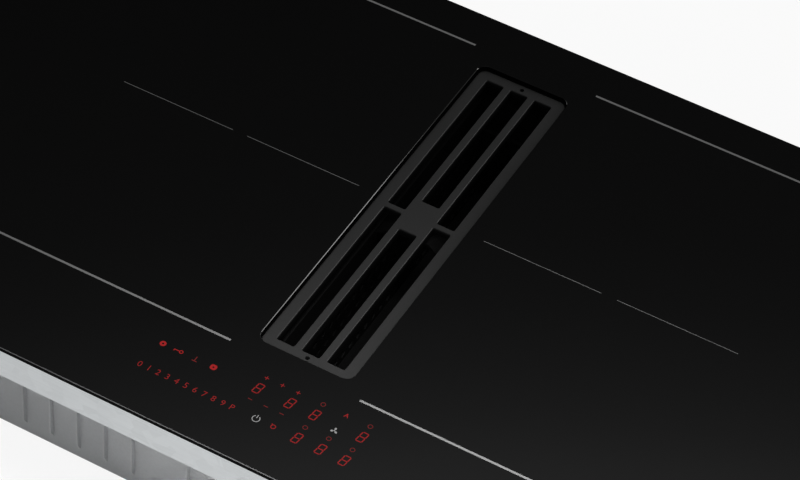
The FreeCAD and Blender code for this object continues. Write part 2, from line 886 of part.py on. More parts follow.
def coil_sensors():
    return [rod(sensor_radius, x, y, coil_z, mica_z) for x, y in coil_places()]


def carrier_post_places():
    places = []
    for side in sides:
        for across in sides:
            for along in sides:
                x = side * (coil_x + across * (carrier_half_x - post_inset))
                places.append((x, zone_middle_y + along * (carrier_half_y - post_inset)))
    return places


def coil_carriers():
    """One aluminium plate under the two coils of each side."""
    carriers = []
    for side in sides:
        carriers.append(plate(2 * carrier_half_x, 2 * carrier_half_y, post_inset, carrier_z, ferrite_z,
                              side * coil_x, zone_middle_y))
    return carriers


def carrier_posts():
    return [rod(post_radius, x, y, floor_z, carrier_z - pad_height) for x, y in carrier_post_places()]


def carrier_pads():
    """Silicone pads that press the coils up against the glass."""
    return [rod(post_radius, x, y, carrier_z - pad_height, carrier_z) for x, y in carrier_post_places()]


# ------------------------------------------------------------------ power electronics
def board_place(side):
    return side * coil_x, board_y


def power_boards():
    boards = []
    for side in sides:
        x, y = board_place(side)
        boards.append(plate(board_width, board_length, board_corner, board_z, board_top, x, y))
    return boards


def board_standoffs():
    """Posts under the corners of the power boards and of the control board."""
    posts = []
    for side in sides:
        x, y = board_place(side)
        for across in sides:
            for along in sides:
                post_x = x + across * (board_width / 2 - standoff_inset)
                post_y = y + along * (board_length / 2 - standoff_inset)
                posts.append(rod(standoff_radius, post_x, post_y, floor_z, board_z))
    left, right, front, back = panel
    for x in (left + panel_post_inset, right - panel_post_inset):
        for y in (front + panel_post_inset, back - panel_post_inset):
            posts.append(rod(panel_post, x, y, floor_z, panel_board_z))
    return posts


def heatsinks():
    """Extruded aluminium heatsinks with upright fins along the air stream."""
    sinks = []
    for side in sides:
        x, y = board_place(side)
        x += side * heatsink_offset
        y0 = y - heatsink_length / 2
        y1 = y + heatsink_length / 2
        pieces = [block(x - heatsink_width / 2, x + heatsink_width / 2, y0, y1,
                        board_top, board_top + heatsink_base)]
        spacing = (heatsink_width - heatsink_fin) / (heatsink_fins - 1)
        for number in range(heatsink_fins):
            fin_x = x - heatsink_width / 2 + number * spacing
            pieces.append(block(fin_x, fin_x + heatsink_fin, y0, y1,
                                board_top, board_top + heatsink_height))
        sinks.append(join(pieces))
    return sinks


def power_transistors():
    """Transistors clipped to the inner face of each heatsink."""
    parts = []
    for side in sides:
        x, y = board_place(side)
        face = x + side * (heatsink_offset - heatsink_width / 2)
        far = face - side * transistor_thickness
        spacing = heatsink_length / transistor_count
        for number in range(transistor_count):
            middle = y + (number - (transistor_count - 1) / 2) * spacing
            parts.append(block(min(face, far), max(face, far),
                               middle - transistor_size / 2, middle + transistor_size / 2,
                               board_top, board_top + transistor_height))
    return parts


def component_places(side, count, offset):
    """Places along the inner edge of a board, the middle of the row offset from the board's."""
    x, y = board_place(side)
    first = y + offset - (count - 1) / 2 * component_pitch
    return [(x - side * component_row, first + n * component_pitch) for n in range(count)]


def board_capacitors():
    parts = []
    for side in sides:
        for x, y in component_places(side, capacitor_count, component_offset):
            parts.append(rod(capacitor_radius, x, y, board_top, board_top + capacitor_height))
    return parts


def line_chokes():
    parts = []
    for side in sides:
        for x, y in component_places(side, 1, -component_offset):
            parts.append(tube(choke_outer, choke_inner, x, y, board_top, board_top + choke_height))
    return parts


# ------------------------------------------------------------------ cooling fans
def fan_frame(side):
    """Square frame with a round bore; spokes at the bottom hold the hub and its bearing hole."""
    top = floor_z + fan_height
    outer = plate(fan_size, fan_size, fan_corner, floor_z, top, fan_x, fan_y)
    body = outer.cut(rod(fan_bore, fan_x, fan_y, floor_z, top))
    pieces = [body, rod(fan_hub, fan_x, fan_y, floor_z, floor_z + fan_plate)]
    for number in range(fan_spokes):
        spoke = block(0, fan_bore + overlap, -fan_spoke_width / 2, fan_spoke_width / 2,
                      floor_z, floor_z + fan_plate)
        turn = 4 * quarter_turn * (number + 0.5) / fan_spokes
        spoke.rotate(vec(0, 0, 0), vec(0, 0, 1), turn)
        spoke.translate(vec(fan_x, fan_y))
        pieces.append(spoke)
    joined = join(pieces)
    hole = rod(fan_pin + fan_pin_clearance, fan_x, fan_y, floor_z, floor_z + fan_plate)
    return mirrored(joined.cut(hole), side)


def fan_rotor(side):
    """Hub with leaning blades on a pin that turns in the frame."""
    low = floor_z + fan_plate + seat_gap
    high = floor_z + fan_height - fan_tip_gap
    pieces = [rod(fan_hub, fan_x, fan_y, low, high),
              rod(fan_pin, fan_x, fan_y, floor_z + seat_gap, low)]
    length = fan_bore - fan_tip_gap - fan_hub
    for number in range(fan_blades):
        blade = block(fan_hub - overlap, fan_hub + length, -blade_thickness / 2, blade_thickness / 2,
                      -(high - low) / 2, (high - low) / 2)
        blade.rotate(vec(0, 0, 0), vec(1, 0, 0), blade_lean)
        blade.rotate(vec(0, 0, 0), vec(0, 0, 1), 4 * quarter_turn * number / fan_blades)
        blade.translate(vec(fan_x, fan_y, (low + high) / 2))
        pieces.append(blade)
    return mirrored(join(pieces), side)


# ------------------------------------------------------------------ touch controls
def timer_columns():
    return [timer_right + n * timer_pitch for n in range(timer_keys)]


def display_places():
    timers = timer_columns()
    upper = [(x, row_middle) for x in (-step_pitch, step_pitch, timers[0], timers[-1])]
    return upper + [(x, row_bottom) for x in timers]


def touch_places():
    """Middles of the touch pads, one under each key printed or lit on the glass."""
    places = [(n * slider_pitch - slider_left, row_bottom) for n in range(slider_keys)]
    places += [(n * symbol_pitch - symbol_left, row_middle) for n in range(symbol_keys)]
    for row in (row_plus, row_minus):
        places += [(n * step_pitch, row) for n in (-1, 0, 1)]
    places += [(0.0, row_bottom), (chime_right, row_bottom)]
    for row in (row_ring, row_plus):
        places += [(x, row) for x in timer_columns()]
    return places


def control_frame():
    """Plastic frame under the glass with a pocket for each display and each pad."""
    body = plate_between(*panel, panel_corner, panel_z, glass_under)
    width = display_width + 2 * display_gap
    height = display_height + 2 * display_gap
    tools = [plate(width, height, display_corner, panel_z, glass_under, x, y)
             for x, y in display_places()]
    tools += [rod(pad_radius + pad_gap, x, y, panel_z, glass_under) for x, y in touch_places()]
    return carve(body, tools)


def control_board():
    return plate_between(*panel, panel_corner, panel_board_z, panel_z)


def display_modules():
    high = panel_z + display_thickness
    return [plate(display_width, display_height, display_corner, panel_z, high, x, y)
            for x, y in display_places()]


def touch_pads():
    return [rod(pad_radius, x, y, panel_z, glass_under) for x, y in touch_places()]


# ------------------------------------------------------------------ mains entry
def cable_gland():
    """Gland through the casing floor; its domed nut and bore point down."""
    low = casing_bottom - gland_height
    dome = rod(gland_dome, mains_x, mains_y, low, casing_bottom - gland_hex)
    dome = dome.makeFillet(gland_round, level_edges(dome, low))
    body = join([
        dome,
        hexagon(gland_flats, mains_x, mains_y, casing_bottom - gland_hex, casing_bottom),
        rod(gland_thread, mains_x, mains_y, casing_bottom, gland_top),
    ])
    return body.cut(rod(gland_bore, mains_x, mains_y, low, gland_top))


def gland_lock_nut():
    nut = hexagon(gland_flats, mains_x, mains_y, floor_z, floor_z + gland_nut)
    return nut.cut(rod(gland_thread + screw_clearance, mains_x, mains_y, floor_z, floor_z + gland_nut))


def terminal_block():
    """Block of screw terminals in front of the gland."""
    back = mains_y - gland_flats / 2 - terminal_gap
    x0 = mains_x - terminal_width / 2
    top = floor_z + terminal_height
    body = block(x0, x0 + terminal_width, back - terminal_depth, back, floor_z, top)
    pitch = terminal_width / terminal_poles
    tools = []
    for number in range(terminal_poles):
        x = x0 + (number + 0.5) * pitch
        tools.append(rod(terminal_hole, x, back - terminal_depth / 2, floor_z + terminal_height / 2, top))
    return carve(body, tools)


# ------------------------------------------------------------------ airbox
def airbox_shell(z0, z1, inset):
    """Solid with the outline of the airbox, drawn in by the inset."""
    return plate_between(inset - airbox_left, airbox_right - inset, inset - airbox_front,
                         airbox_back - inset, airbox_corner - inset, z0, z1)


def joint_screw_places():
    """Screws round the joint of the two shells; none stands in the way of the outlet."""
    out = joint_flange / 2
    along = [joint_screw_inset - airbox_front, (airbox_back - airbox_front) / 2,
             airbox_back - joint_screw_inset]
    across = [joint_screw_inset - airbox_left, (airbox_right - airbox_left) / 2,
              airbox_right - joint_screw_inset]
    places = [(x, y) for x in (-airbox_left - out, airbox_right + out) for y in along]
    places += [(x, -airbox_front - out) for x in across]
    places.append((airbox_right - joint_screw_inset / 2, airbox_back + out))
    return places


def joint_rim(z0, z1):
    """Flange that stands out round the joint, with a hole for each screw."""
    rim = airbox_shell(z0, z1, -joint_flange).cut(airbox_shell(z0, z1, airbox_wall))
    holes = [rod(screw_shank + screw_clearance, x, y, z0, z1) for x, y in joint_screw_places()]
    return carve(rim, holes)


def outlet_cut():
    """Space that both shells leave for the neck of the outlet."""
    half_x = spigot_width / 2 + spigot_clearance
    half_z = spigot_height / 2 + spigot_clearance
    return block(spigot_x - half_x, spigot_x + half_x, airbox_back - 2 * airbox_wall,
                 airbox_back + 2 * joint_flange, spigot_z - half_z, spigot_z + half_z)


def airbox_lower():
    """Lower shell: floor, walls, joint flange and the two rests of the drip tray."""
    outer = airbox_shell(0, airbox_joint, 0)
    outer = outer.makeFillet(airbox_round, level_edges(outer, 0))
    inner = airbox_shell(airbox_wall, airbox_joint, airbox_wall)
    inner = inner.makeFillet(airbox_round - airbox_wall, level_edges(inner, airbox_wall))
    body = outer.cut(inner)
    rim = joint_rim(airbox_joint - joint_flange_thickness, airbox_joint)
    width = aperture_width - 2 * tray_outline
    seat = tray_bottom - seat_gap
    half = width / 2 + seat_gap
    rests = []
    for side in sides:
        y = aperture_y + side * rest_offset - rest_thickness / 2
        rest = block(-half - rest_thickness, half + rest_thickness, y, y + rest_thickness,
                     airbox_wall, seat + rest_horn)
        notch = block(-half, half, y, y + rest_thickness, seat, seat + rest_horn)
        rests.append(rest.cut(notch))
    return join([body, rim] + rests).cut(outlet_cut())


def airbox_upper():
    """Upper shell: walls, top plate under the casing and the collar up to the inlet."""
    body = airbox_shell(airbox_joint, casing_bottom, 0)
    body = body.cut(airbox_shell(airbox_joint, casing_bottom - airbox_wall, airbox_wall))
    rim = joint_rim(airbox_joint, airbox_joint + joint_flange_thickness)
    collar_top = surround_bottom - inlet_seal_height
    collar = well_plate(collar_inner_inset - collar_wall, casing_bottom - airbox_wall, collar_top)
    body = join([body, rim, collar])
    tools = [outlet_cut(), well_plate(collar_inner_inset, casing_bottom - airbox_wall, collar_top)]
    for x, y in casing_screw_places():
        tools.append(rod(screw_shank + screw_clearance, x, y, casing_bottom - airbox_wall, casing_bottom))
    return carve(body, tools)


def joint_screws():
    """Screws from below through the two flanges."""
    screws = []
    low = airbox_joint - joint_flange_thickness
    for x, y in joint_screw_places():
        head = rod(screw_head, x, y, low - screw_head_height, low)
        shank = rod(screw_shank, x, y, low, airbox_joint + joint_flange_thickness)
        screws.append(join([head, shank]))
    return screws


# ------------------------------------------------------------------ blower housing
def scroll_outline(offset, z):
    """Outline of the scroll: four arcs, each a step wider than the last, and the straight channel."""
    near = scroll_x
    far = scroll_x + scroll_step
    low = scroll_y
    high = scroll_y + scroll_step
    centres = (vec(near, high, z), vec(near, low, z), vec(far, low, z), vec(far, high, z))
    left = channel_left - offset
    first_radius = scroll_start + offset
    first = math.degrees(math.acos((left - near) / first_radius))
    arcs = []
    for quarter, centre in enumerate(centres):
        start = quarter * quarter_turn if quarter else first
        radius = first_radius + quarter * scroll_step
        arcs.append(arc_edge(centre, radius, start, (quarter + 1) * quarter_turn))
    right = channel_right + offset
    mouth = Part.LineSegment(vec(right, channel_end, z), vec(left, channel_end, z)).toShape()
    return closed_wire(arcs + [mouth])


def blower_housing_lower():
    outer = prism(scroll_outline(blower_wall, scroll_outside), scroll_top - scroll_outside)
    return outer.cut(prism(scroll_outline(0.0, scroll_floor), scroll_height))


def blower_housing_upper():
    """Lid of the scroll with its round intake and a raised lip."""
    high = scroll_top + blower_wall
    lid = prism(scroll_outline(blower_wall, scroll_top), blower_wall)
    lip = rod(intake_radius + intake_lip, blower_x, blower_y, scroll_top, high + intake_rise)
    lip = lip.makeFillet(intake_lip / 2, level_edges(lip, high + intake_rise))
    return join([lid, lip]).cut(rod(intake_radius, blower_x, blower_y, scroll_top, high + intake_rise))


def blower_mounts():
    """Rubber pads between the floor of the airbox and the scroll."""
    reach = scroll_start - blower_mount_radius
    pads = []
    for turn in range(4):
        angle = math.radians(quarter_turn * (turn + 0.5))
        x = blower_x + reach * math.cos(angle)
        y = blower_y + reach * math.sin(angle)
        pads.append(rod(blower_mount_radius, x, y, airbox_wall, scroll_outside))
    return pads


# ------------------------------------------------------------------ motor and impeller
def blower_impeller():
    """Backplate, domed hub over the motor, leaning blades and the ring that ties their tips."""
    dome_top = cup_top + hub_wall
    dome = cup_radius + hub_gap
    high = impeller_z + impeller_height
    disc = tube(impeller_radius, dome, blower_x, blower_y, impeller_z, impeller_z + impeller_disc)
    hub = rod(dome + hub_wall, blower_x, blower_y, impeller_z, dome_top)
    hub = hub.cut(rod(dome, blower_x, blower_y, impeller_z, cup_top))
    hub = hub.cut(rod(shaft_radius + hub_gap, blower_x, blower_y, cup_top, dome_top))
    inner = impeller_radius - impeller_ring
    ring = tube(impeller_radius, inner, blower_x, blower_y, high - impeller_disc, high)
    pieces = [disc, hub, ring]
    for number in range(impeller_blades):
        blade = block(-blade_length, 0, -blade_thickness / 2, blade_thickness / 2,
                      impeller_z, high)
        blade.rotate(vec(0, 0, 0), vec(0, 0, 1), blade_lean)
        blade.translate(vec(impeller_radius - blade_thickness, 0))
        blade.rotate(vec(0, 0, 0), vec(0, 0, 1), 4 * quarter_turn * number / impeller_blades)
        blade.translate(vec(blower_x, blower_y))
        pieces.append(blade)
    return join(pieces)


def motor_rotor_cup():
    """Steel cup with the magnets, closed at the top and pressed on the shaft."""
    cup = rod(cup_radius, blower_x, blower_y, cup_z, cup_top)
    cup = cup.cut(rod(cup_radius - cup_wall, blower_x, blower_y, cup_z, cup_top - cup_wall))
    return cup.cut(rod(shaft_radius, blower_x, blower_y, cup_top - cup_wall, cup_top))


def motor_shaft():
    return rod(shaft_radius, blower_x, blower_y, motor_z + seat_gap, cup_top + hub_wall)


def bearing_levels():
    """Lower faces of the two bearings in the tube of the stator."""
    return motor_z + stator_foot, motor_z + tube_height - bearing_height


def motor_bearings():
    rings = []
    for level in bearing_levels():
        rings.append(tube(bearing_radius - bearing_gap, shaft_radius + shaft_clearance,
                          blower_x, blower_y, level, level + bearing_height))
    return rings


def motor_stator():
    """Bearing tube on its foot, and the laminated core with its windings round it."""
    foot = rod(stator_foot_radius, blower_x, blower_y, motor_z, motor_z + stator_foot)
    post = rod(bearing_radius + tube_wall, blower_x, blower_y, motor_z, motor_z + tube_height)
    core = rod(stator_radius, blower_x, blower_y, motor_z + stator_lift,
               motor_z + stator_lift + stator_height)
    body = join([foot, post, core])
    bore = rod(bearing_radius, blower_x, blower_y, motor_z + stator_foot, motor_z + tube_height)
    hole = rod(shaft_radius + hub_gap, blower_x, blower_y, motor_z, motor_z + stator_foot)
    return body.cut(bore).cut(hole)


def motor_plate():
    return rod(motor_plate_radius, blower_x, blower_y, scroll_floor, motor_z)


# ------------------------------------------------------------------ outlet
def outlet_section(grow, y):
    """Upright rectangle of the duct neck, grown outwards from its inner face."""
    half_x = spigot_width / 2 - spigot_wall + grow
    half_z = spigot_height / 2 - spigot_wall + grow
    return upright_rectangle(spigot_x - half_x, spigot_x + half_x, spigot_z - half_z,
                             spigot_z + half_z, y)


def channel_section(grow, y):
    return upright_rectangle(channel_left - grow, channel_right + grow, scroll_floor - grow,
                             scroll_top + grow, y)


def upright_rectangle(x0, x1, z0, z1, y):
    corners = [vec(x0, y, z0), vec(x1, y, z0), vec(x1, y, z1), vec(x0, y, z1)]
    return Part.makePolygon(corners + corners[:1])


def outlet_duct(grow):
    """Taper from the scroll's channel to the neck, then the straight neck."""
    start = spigot_end - spigot_neck
    taper = Part.makeLoft([channel_section(grow, channel_end), outlet_section(grow, start)], True, True)
    neck = Part.Face(outlet_section(grow, start)).extrude(vec(0, spigot_neck, 0))
    return join([taper, neck])


def outlet_spigot():
    return outlet_duct(spigot_wall).cut(outlet_duct(0.0))


# ------------------------------------------------------------------ extractor control box
def control_plate(inset, z0, z1):
    """Plate with the outline of the control box under the casing, drawn in by the inset."""
    return plate(control_width - 2 * inset, control_length - 2 * inset, control_corner - inset,
                 z0, z1, control_x)


def extractor_control_box():
    low = casing_bottom - control_height
    outer = control_plate(0.0, low, casing_bottom)
    return outer.cut(control_plate(control_wall, low, casing_bottom - control_wall))


def extractor_control_lid():
    low = casing_bottom - control_height
    plug = control_plate(control_wall + 2 * seat_gap, low, low + control_wall)
    return join([control_plate(0.0, low - control_wall, low), plug])


def extractor_control_board():
    low = casing_bottom - control_height + control_wall
    return control_plate(control_wall + overlap, low, low + board_thickness)


# ------------------------------------------------------------------ worktop clamps
def clamp_places():
    """Name and corner signs of each clamp."""
    places = []
    for row, row_name in zip(sides, ("front", "rear")):
        for side, side_name in zip(sides, ("left", "right")):
            places.append((row_name + "_" + side_name, side, row))
    return places


def clamp_brackets():
    """Bent plates on the casing walls; two tabs hold each clamp screw."""
    brackets = []
    outer = clamp_x + clamp_boss
    for _, side, row in clamp_places():
        y = row * clamp_y
        back = block(casing_half_x, casing_half_x + clamp_plate,
                     y - clamp_plate_length / 2, y + clamp_plate_length / 2, clamp_floor, clamp_ceiling)
        pieces = [back]
        for low in (clamp_floor, clamp_ceiling - clamp_tab):
            pieces.append(block(casing_half_x, outer, y - clamp_tab_length / 2,
                                y + clamp_tab_length / 2, low, low + clamp_tab))
        hole = rod(clamp_screw + clamp_running, clamp_x, y, clamp_floor, clamp_ceiling)
        brackets.append(mirrored(join(pieces).cut(hole), side))
    return brackets


def clamp_screws():
    screws = []
    for _, side, row in clamp_places():
        x = side * clamp_x
        y = row * clamp_y
        head = rod(clamp_boss, x, y, clamp_floor - clamp_bottom, clamp_floor)
        screws.append(join([head, rod(clamp_screw, x, y, clamp_floor, clamp_ceiling)]))
    return screws


def clamp_arm(side, row):
    """Swivelling arm; at rest it lies along the wall of the casing and points to its middle."""
    low = clamp_floor + clamp_tab + clamp_arm_lift
    high = low + clamp_arm_height
    y = row * clamp_y
    tip = y - row * (clamp_arm_length - clamp_boss)
    bar = block(clamp_x - clamp_boss, clamp_x + clamp_boss, min(y, tip), max(y, tip), low, high)
    boss = rod(clamp_boss, clamp_x, y, low, high)
    end = rod(clamp_boss, clamp_x, tip, low, high)
    hole = rod(clamp_screw + clamp_running, clamp_x, y, low, high)
    return mirrored(join([bar, boss, end]).cut(hole), side)


def build():
    os.makedirs("parts", exist_ok=True)
    save("glass_plate", [glass_plate()])
    save("worktop_seal", [worktop_seal()])
    save("inlet_surround", [inlet_surround()])
    save("inlet_seal", [inlet_seal()])
    save("grille", [grille()])
    save("grille_feet", grille_feet())
    save("filter_frame", [filter_frame()])
    save("filter_mesh", filter_mesh())
    save("filter_handle", [filter_handle()])
    save("drip_tray", [drip_tray()])
    save("casing_tray", [casing_tray()])
    save("casing_frame", [casing_frame()])
    save("casing_screws", casing_screws())
    save("coil_windings", coil_windings())
    save("coil_formers", coil_formers())
    save("ferrite_bars", ferrite_bars())
    save("mica_sheets", mica_sheets())
    save("coil_sensors", coil_sensors())
    save("coil_carriers", coil_carriers())
    save("carrier_posts", carrier_posts())
    save("carrier_pads", carrier_pads())
    save("power_boards", power_boards())
    save("board_standoffs", board_standoffs())
    save("heatsinks", heatsinks())
    save("power_transistors", power_transistors())
    save("board_capacitors", board_capacitors())
    save("line_chokes", line_chokes())
    for side, name in zip(sides, ("left", "right")):
        save("fan_frame_" + name, [fan_frame(side)])
        save("fan_rotor_" + name, [fan_rotor(side)])
    save("control_frame", [control_frame()])
    save("control_board", [control_board()])
    save("display_modules", display_modules())
    save("touch_pads", touch_pads())
    save("cable_gland", [cable_gland()])
    save("gland_lock_nut", [gland_lock_nut()])
    save("terminal_block", [terminal_block()])
    save("airbox_lower", [airbox_lower()])
    save("airbox_upper", [airbox_upper()])
    save("joint_screws", joint_screws())
    save("blower_housing_lower", [blower_housing_lower()])
    save("blower_housing_upper", [blower_housing_upper()])
    save("blower_mounts", blower_mounts())
    save("blower_impeller", [blower_impeller()])
    save("motor_rotor_cup", [motor_rotor_cup()])
    save("motor_shaft", [motor_shaft()])
    save("motor_bearings", motor_bearings())
    save("motor_stator", [motor_stator()])
    save("motor_plate", [motor_plate()])
    save("outlet_spigot", [outlet_spigot()])
    save("extractor_control_box", [extractor_control_box()])
    save("extractor_control_lid", [extractor_control_lid()])
    save("extractor_control_board", [extractor_control_board()])
    save("clamp_brackets", clamp_brackets())
    save("clamp_screws", clamp_screws())
    for name, side, row in clamp_places():
        save("clamp_arm_" + name, [clamp_arm(side, row)])


build()
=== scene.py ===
import json
import math

import bmesh
import bpy
import numpy as np
from mathutils import Matrix, Vector


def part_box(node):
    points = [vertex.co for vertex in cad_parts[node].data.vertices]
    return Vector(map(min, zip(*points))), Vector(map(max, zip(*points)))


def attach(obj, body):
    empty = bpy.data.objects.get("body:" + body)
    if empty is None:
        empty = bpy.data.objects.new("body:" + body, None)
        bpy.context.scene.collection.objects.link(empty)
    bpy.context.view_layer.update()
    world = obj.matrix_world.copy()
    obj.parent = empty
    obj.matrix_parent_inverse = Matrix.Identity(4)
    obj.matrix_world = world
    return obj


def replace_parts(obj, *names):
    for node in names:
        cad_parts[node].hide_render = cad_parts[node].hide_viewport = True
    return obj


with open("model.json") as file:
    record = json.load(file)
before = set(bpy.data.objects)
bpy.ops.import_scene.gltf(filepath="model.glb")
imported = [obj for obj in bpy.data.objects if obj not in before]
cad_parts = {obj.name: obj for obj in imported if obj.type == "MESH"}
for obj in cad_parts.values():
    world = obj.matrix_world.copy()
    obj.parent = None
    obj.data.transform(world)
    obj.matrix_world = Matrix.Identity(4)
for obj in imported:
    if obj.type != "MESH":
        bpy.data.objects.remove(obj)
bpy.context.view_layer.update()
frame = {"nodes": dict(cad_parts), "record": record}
nodes = frame["nodes"]
print("frame loaded:", len(nodes), "nodes")

mm = 0.001
glassLow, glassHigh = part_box("glass_plate")
glassTop, glassFront, glassSide = glassHigh.z / mm, glassLow.y / mm, glassHigh.x / mm
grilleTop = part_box("grille")[1].z / mm


# shader maths: a socket that adds, multiplies and compares like a number

class Wire:
    def __init__(self, finish, socket):
        self.finish = finish
        self.socket = socket

    def maths(self, operation, other=None, swapped=False):
        pair = (other, self) if swapped else (self, other)
        sockets = {place: value for place, value in enumerate(pair) if value is not None}
        return self.finish.add("ShaderNodeMath", {"operation": operation}, sockets)

    def output(self, name):
        return Wire(self.finish, self.socket.node.outputs[name])

    def __add__(self, other):
        return self.maths("ADD", other)

    def __radd__(self, other):
        return self.maths("ADD", other, True)

    def __sub__(self, other):
        return self.maths("SUBTRACT", other)

    def __rsub__(self, other):
        return self.maths("SUBTRACT", other, True)

    def __mul__(self, other):
        return self.maths("MULTIPLY", other)

    def __rmul__(self, other):
        return self.maths("MULTIPLY", other, True)

    def __truediv__(self, other):
        return self.maths("DIVIDE", other)

    def __rtruediv__(self, other):
        return self.maths("DIVIDE", other, True)

    def __pow__(self, other):
        return self.maths("POWER", other)

    def __gt__(self, other):
        return self.maths("GREATER_THAN", other)

    def __lt__(self, other):
        return self.maths("LESS_THAN", other)

    def __abs__(self):
        return self.maths("ABSOLUTE")


class Finish:
    # one node tree; add() takes a node's type, then its settings, then what its sockets hold
    def __init__(self, owner):
        self.owner = owner
        owner.use_nodes = True
        self.tree = owner.node_tree
        self.tree.nodes.clear()
        self.objectPlace = None

    def add(self, kind, settings=None, sockets=None, output=0):
        node = self.tree.nodes.new(kind)
        for name, value in (settings or {}).items():
            if name == "stops":
                self.setStops(node.color_ramp, value)
            else:
                setattr(node, name, value)
        for name, value in (sockets or {}).items():
            if isinstance(value, Wire):
                self.tree.links.new(value.socket, node.inputs[name])
            elif node.inputs[name].type == "RGBA":
                node.inputs[name].default_value = (*value, 1.0)
            else:
                node.inputs[name].default_value = value
        return Wire(self, node.outputs[output]) if node.outputs else node

    def setStops(self, ramp, stops):
        while len(ramp.elements) < len(stops):
            ramp.elements.new(1.0)
        for element, (place, level) in zip(ramp.elements, stops):
            element.position = place
            element.color = (level, level, level, 1.0) if np.isscalar(level) else (*level, 1.0)

    def place(self):
        # object coordinates, which are metres in the frame of the hob
        if self.objectPlace is None:
            self.objectPlace = self.add("ShaderNodeTexCoord", output="Object")
        return self.objectPlace

    def axes(self):
        # X, Y and Z; the split itself stands for its first output, X
        split = self.add("ShaderNodeSeparateXYZ", {}, {0: self.place()})
        return split, split.output("Y"), split.output("Z")

    def stretched(self, scale, turn=(0.0, 0.0, 0.0)):
        return self.add("ShaderNodeMapping", {}, {"Vector": self.place(), "Scale": scale,
                                                  "Rotation": turn})

    def noise(self, size, detail=3.0, roughness=0.5, vector=None):
        # clouds of about the given size in millimetres
        sockets = {"Vector": vector or self.place(), "Scale": 1.0 / (size * mm),
                   "Detail": detail, "Roughness": roughness}
        return self.add("ShaderNodeTexNoise", {}, sockets)

    def cells(self, size, output="Distance"):
        # cells of about the given size in millimetres
        return self.add("ShaderNodeTexVoronoi", {"feature": "F1"},
                        {"Vector": self.place(), "Scale": 1.0 / (size * mm)}, output)

    def ramp(self, factor, stops):
        return self.add("ShaderNodeValToRGB", {"stops": stops}, {"Fac": factor})

    def clamp(self, value):
        return self.add("ShaderNodeClamp", {}, {0: value})

    def blend(self, factor, first, second):
        return self.add("ShaderNodeMix", {"data_type": "RGBA"}, {0: factor, 6: first, 7: second}, 2)

    def bump(self, height, depth, strength=1.0):
        # depth is in millimetres
        return self.add("ShaderNodeBump", {}, {"Height": height, "Distance": depth * mm,
                                               "Strength": strength})

    def shader(self, **sockets):
        # the principled shader; names are the sockets' words run together
        names = {"baseColor": "Base Color", "roughness": "Roughness", "metallic": "Metallic",
                 "ior": "IOR", "normal": "Normal", "specular": "Specular IOR Level",
                 "emission": "Emission Color", "emissionStrength": "Emission Strength"}
        return self.add("ShaderNodeBsdfPrincipled", {},
                        {names[key]: value for key, value in sockets.items()})

    def give(self, shader):
        self.add("ShaderNodeOutputMaterial", {}, {"Surface": shader})
        return self.owner

    def close(self, **sockets):
        return self.give(self.shader(**sockets))


def tone(colour, factor):
    return tuple(min(1.0, channel * factor) for channel in colour)


def newFinish(name):
    return Finish(bpy.data.materials.new(name))


# finishes, one maker for each kind of surface

def mouldedFinish(name, look):
    # moulded plastic: spark-eroded grain, faint flow clouds and a little dust in the hollows
    finish = newFinish(name)
    grain = finish.noise(look["grain"], 4.0, 0.6)
    clouds = finish.noise(look.get("clouds", 60.0), 3.0)
    pits = finish.cells(look["grain"] * 2.5)
    base = finish.blend(clouds, tone(look["colour"], 0.88), tone(look["colour"], 1.1))
    base = finish.blend(pits * 0.25, base, tone(look["colour"], 0.7))
    rough = look["rough"] + (clouds - 0.5) * 0.12 + (grain - 0.5) * 0.1
    normal = finish.bump(grain * 0.7 + pits * 0.5, look.get("depth", 0.03), 0.35)
    return finish.close(baseColor=base, roughness=rough, normal=normal,
                        specular=look.get("specular", 0.5))


def sheetFinish(name, look):
    # rolled sheet: long fine streaks, zinc spangle where asked, dulled patches
    finish = newFinish(name)
    streaks = finish.noise(look["streak"], 3.0, 0.6, finish.stretched(look["stretch"]))
    patches = finish.noise(45.0, 3.0)
    spangle = finish.cells(look.get("spangle", 9.0), "Color")
    level = finish.add("ShaderNodeSeparateXYZ", {}, {0: spangle})
    spread = (level - 0.5) * look.get("spangleDepth", 0.0)
    light = 0.5 + spread + (streaks - 0.5) * 0.35
    base = finish.blend(light, tone(look["colour"], 0.78), tone(look["colour"], 1.12))
    rough = look["rough"] + (patches - 0.5) * 0.14 + spread * 0.12
    return finish.close(baseColor=base, roughness=rough, metallic=look.get("metallic", 1.0),
                        normal=finish.bump(streaks + patches * 0.4, 0.01, 0.3))


def softFinish(name, look):
    # foam and silicone: fine pores, matt, with a chalky bloom
    finish = newFinish(name)
    pores = finish.cells(look["pores"])
    bloom = finish.noise(18.0, 4.0)
    base = finish.blend(bloom, tone(look["colour"], 0.8), tone(look["colour"], 1.3))
    rough = look["rough"] + (bloom - 0.5) * 0.1
    normal = finish.bump(pores, look.get("depth", 0.08), 0.5)
    return finish.close(baseColor=base, roughness=rough, normal=normal)


def coatedFinish(name, look):
    # powder coat: a fine pebbled skin, slightly more open where fingers rub it
    finish = newFinish(name)
    pebbles = finish.noise(look["grain"], 3.0, 0.55)
    blotches = finish.noise(26.0, 3.0)
    specks = finish.cells(look["grain"] * 1.7)
    base = finish.blend(pebbles, tone(look["colour"], 0.82), tone(look["colour"], 1.18))
    base = finish.blend(blotches * 0.3, base, tone(look["colour"], 1.25))
    if "shade" in look:
        # painted shade darkens the walls of the slots: from the first depth to the second, in
        # millimetres
        start, end, share = look["shade"]
        z = finish.axes()[2]
        depth = ((grilleTop - start) * mm - z) / ((end - start) * mm)
        base = finish.blend(finish.clamp(depth), base, tone(look["colour"], share))
    rough = look["rough"] + (blotches - 0.5) * 0.08 + (pebbles - 0.5) * 0.1
    normal = finish.bump(pebbles * 0.8 + specks * 0.3,
                         look.get("depth", 0.02), look.get("strength", 0.4))
    return finish.close(baseColor=base, roughness=rough, normal=normal,
                        specular=look.get("specular", 0.5))


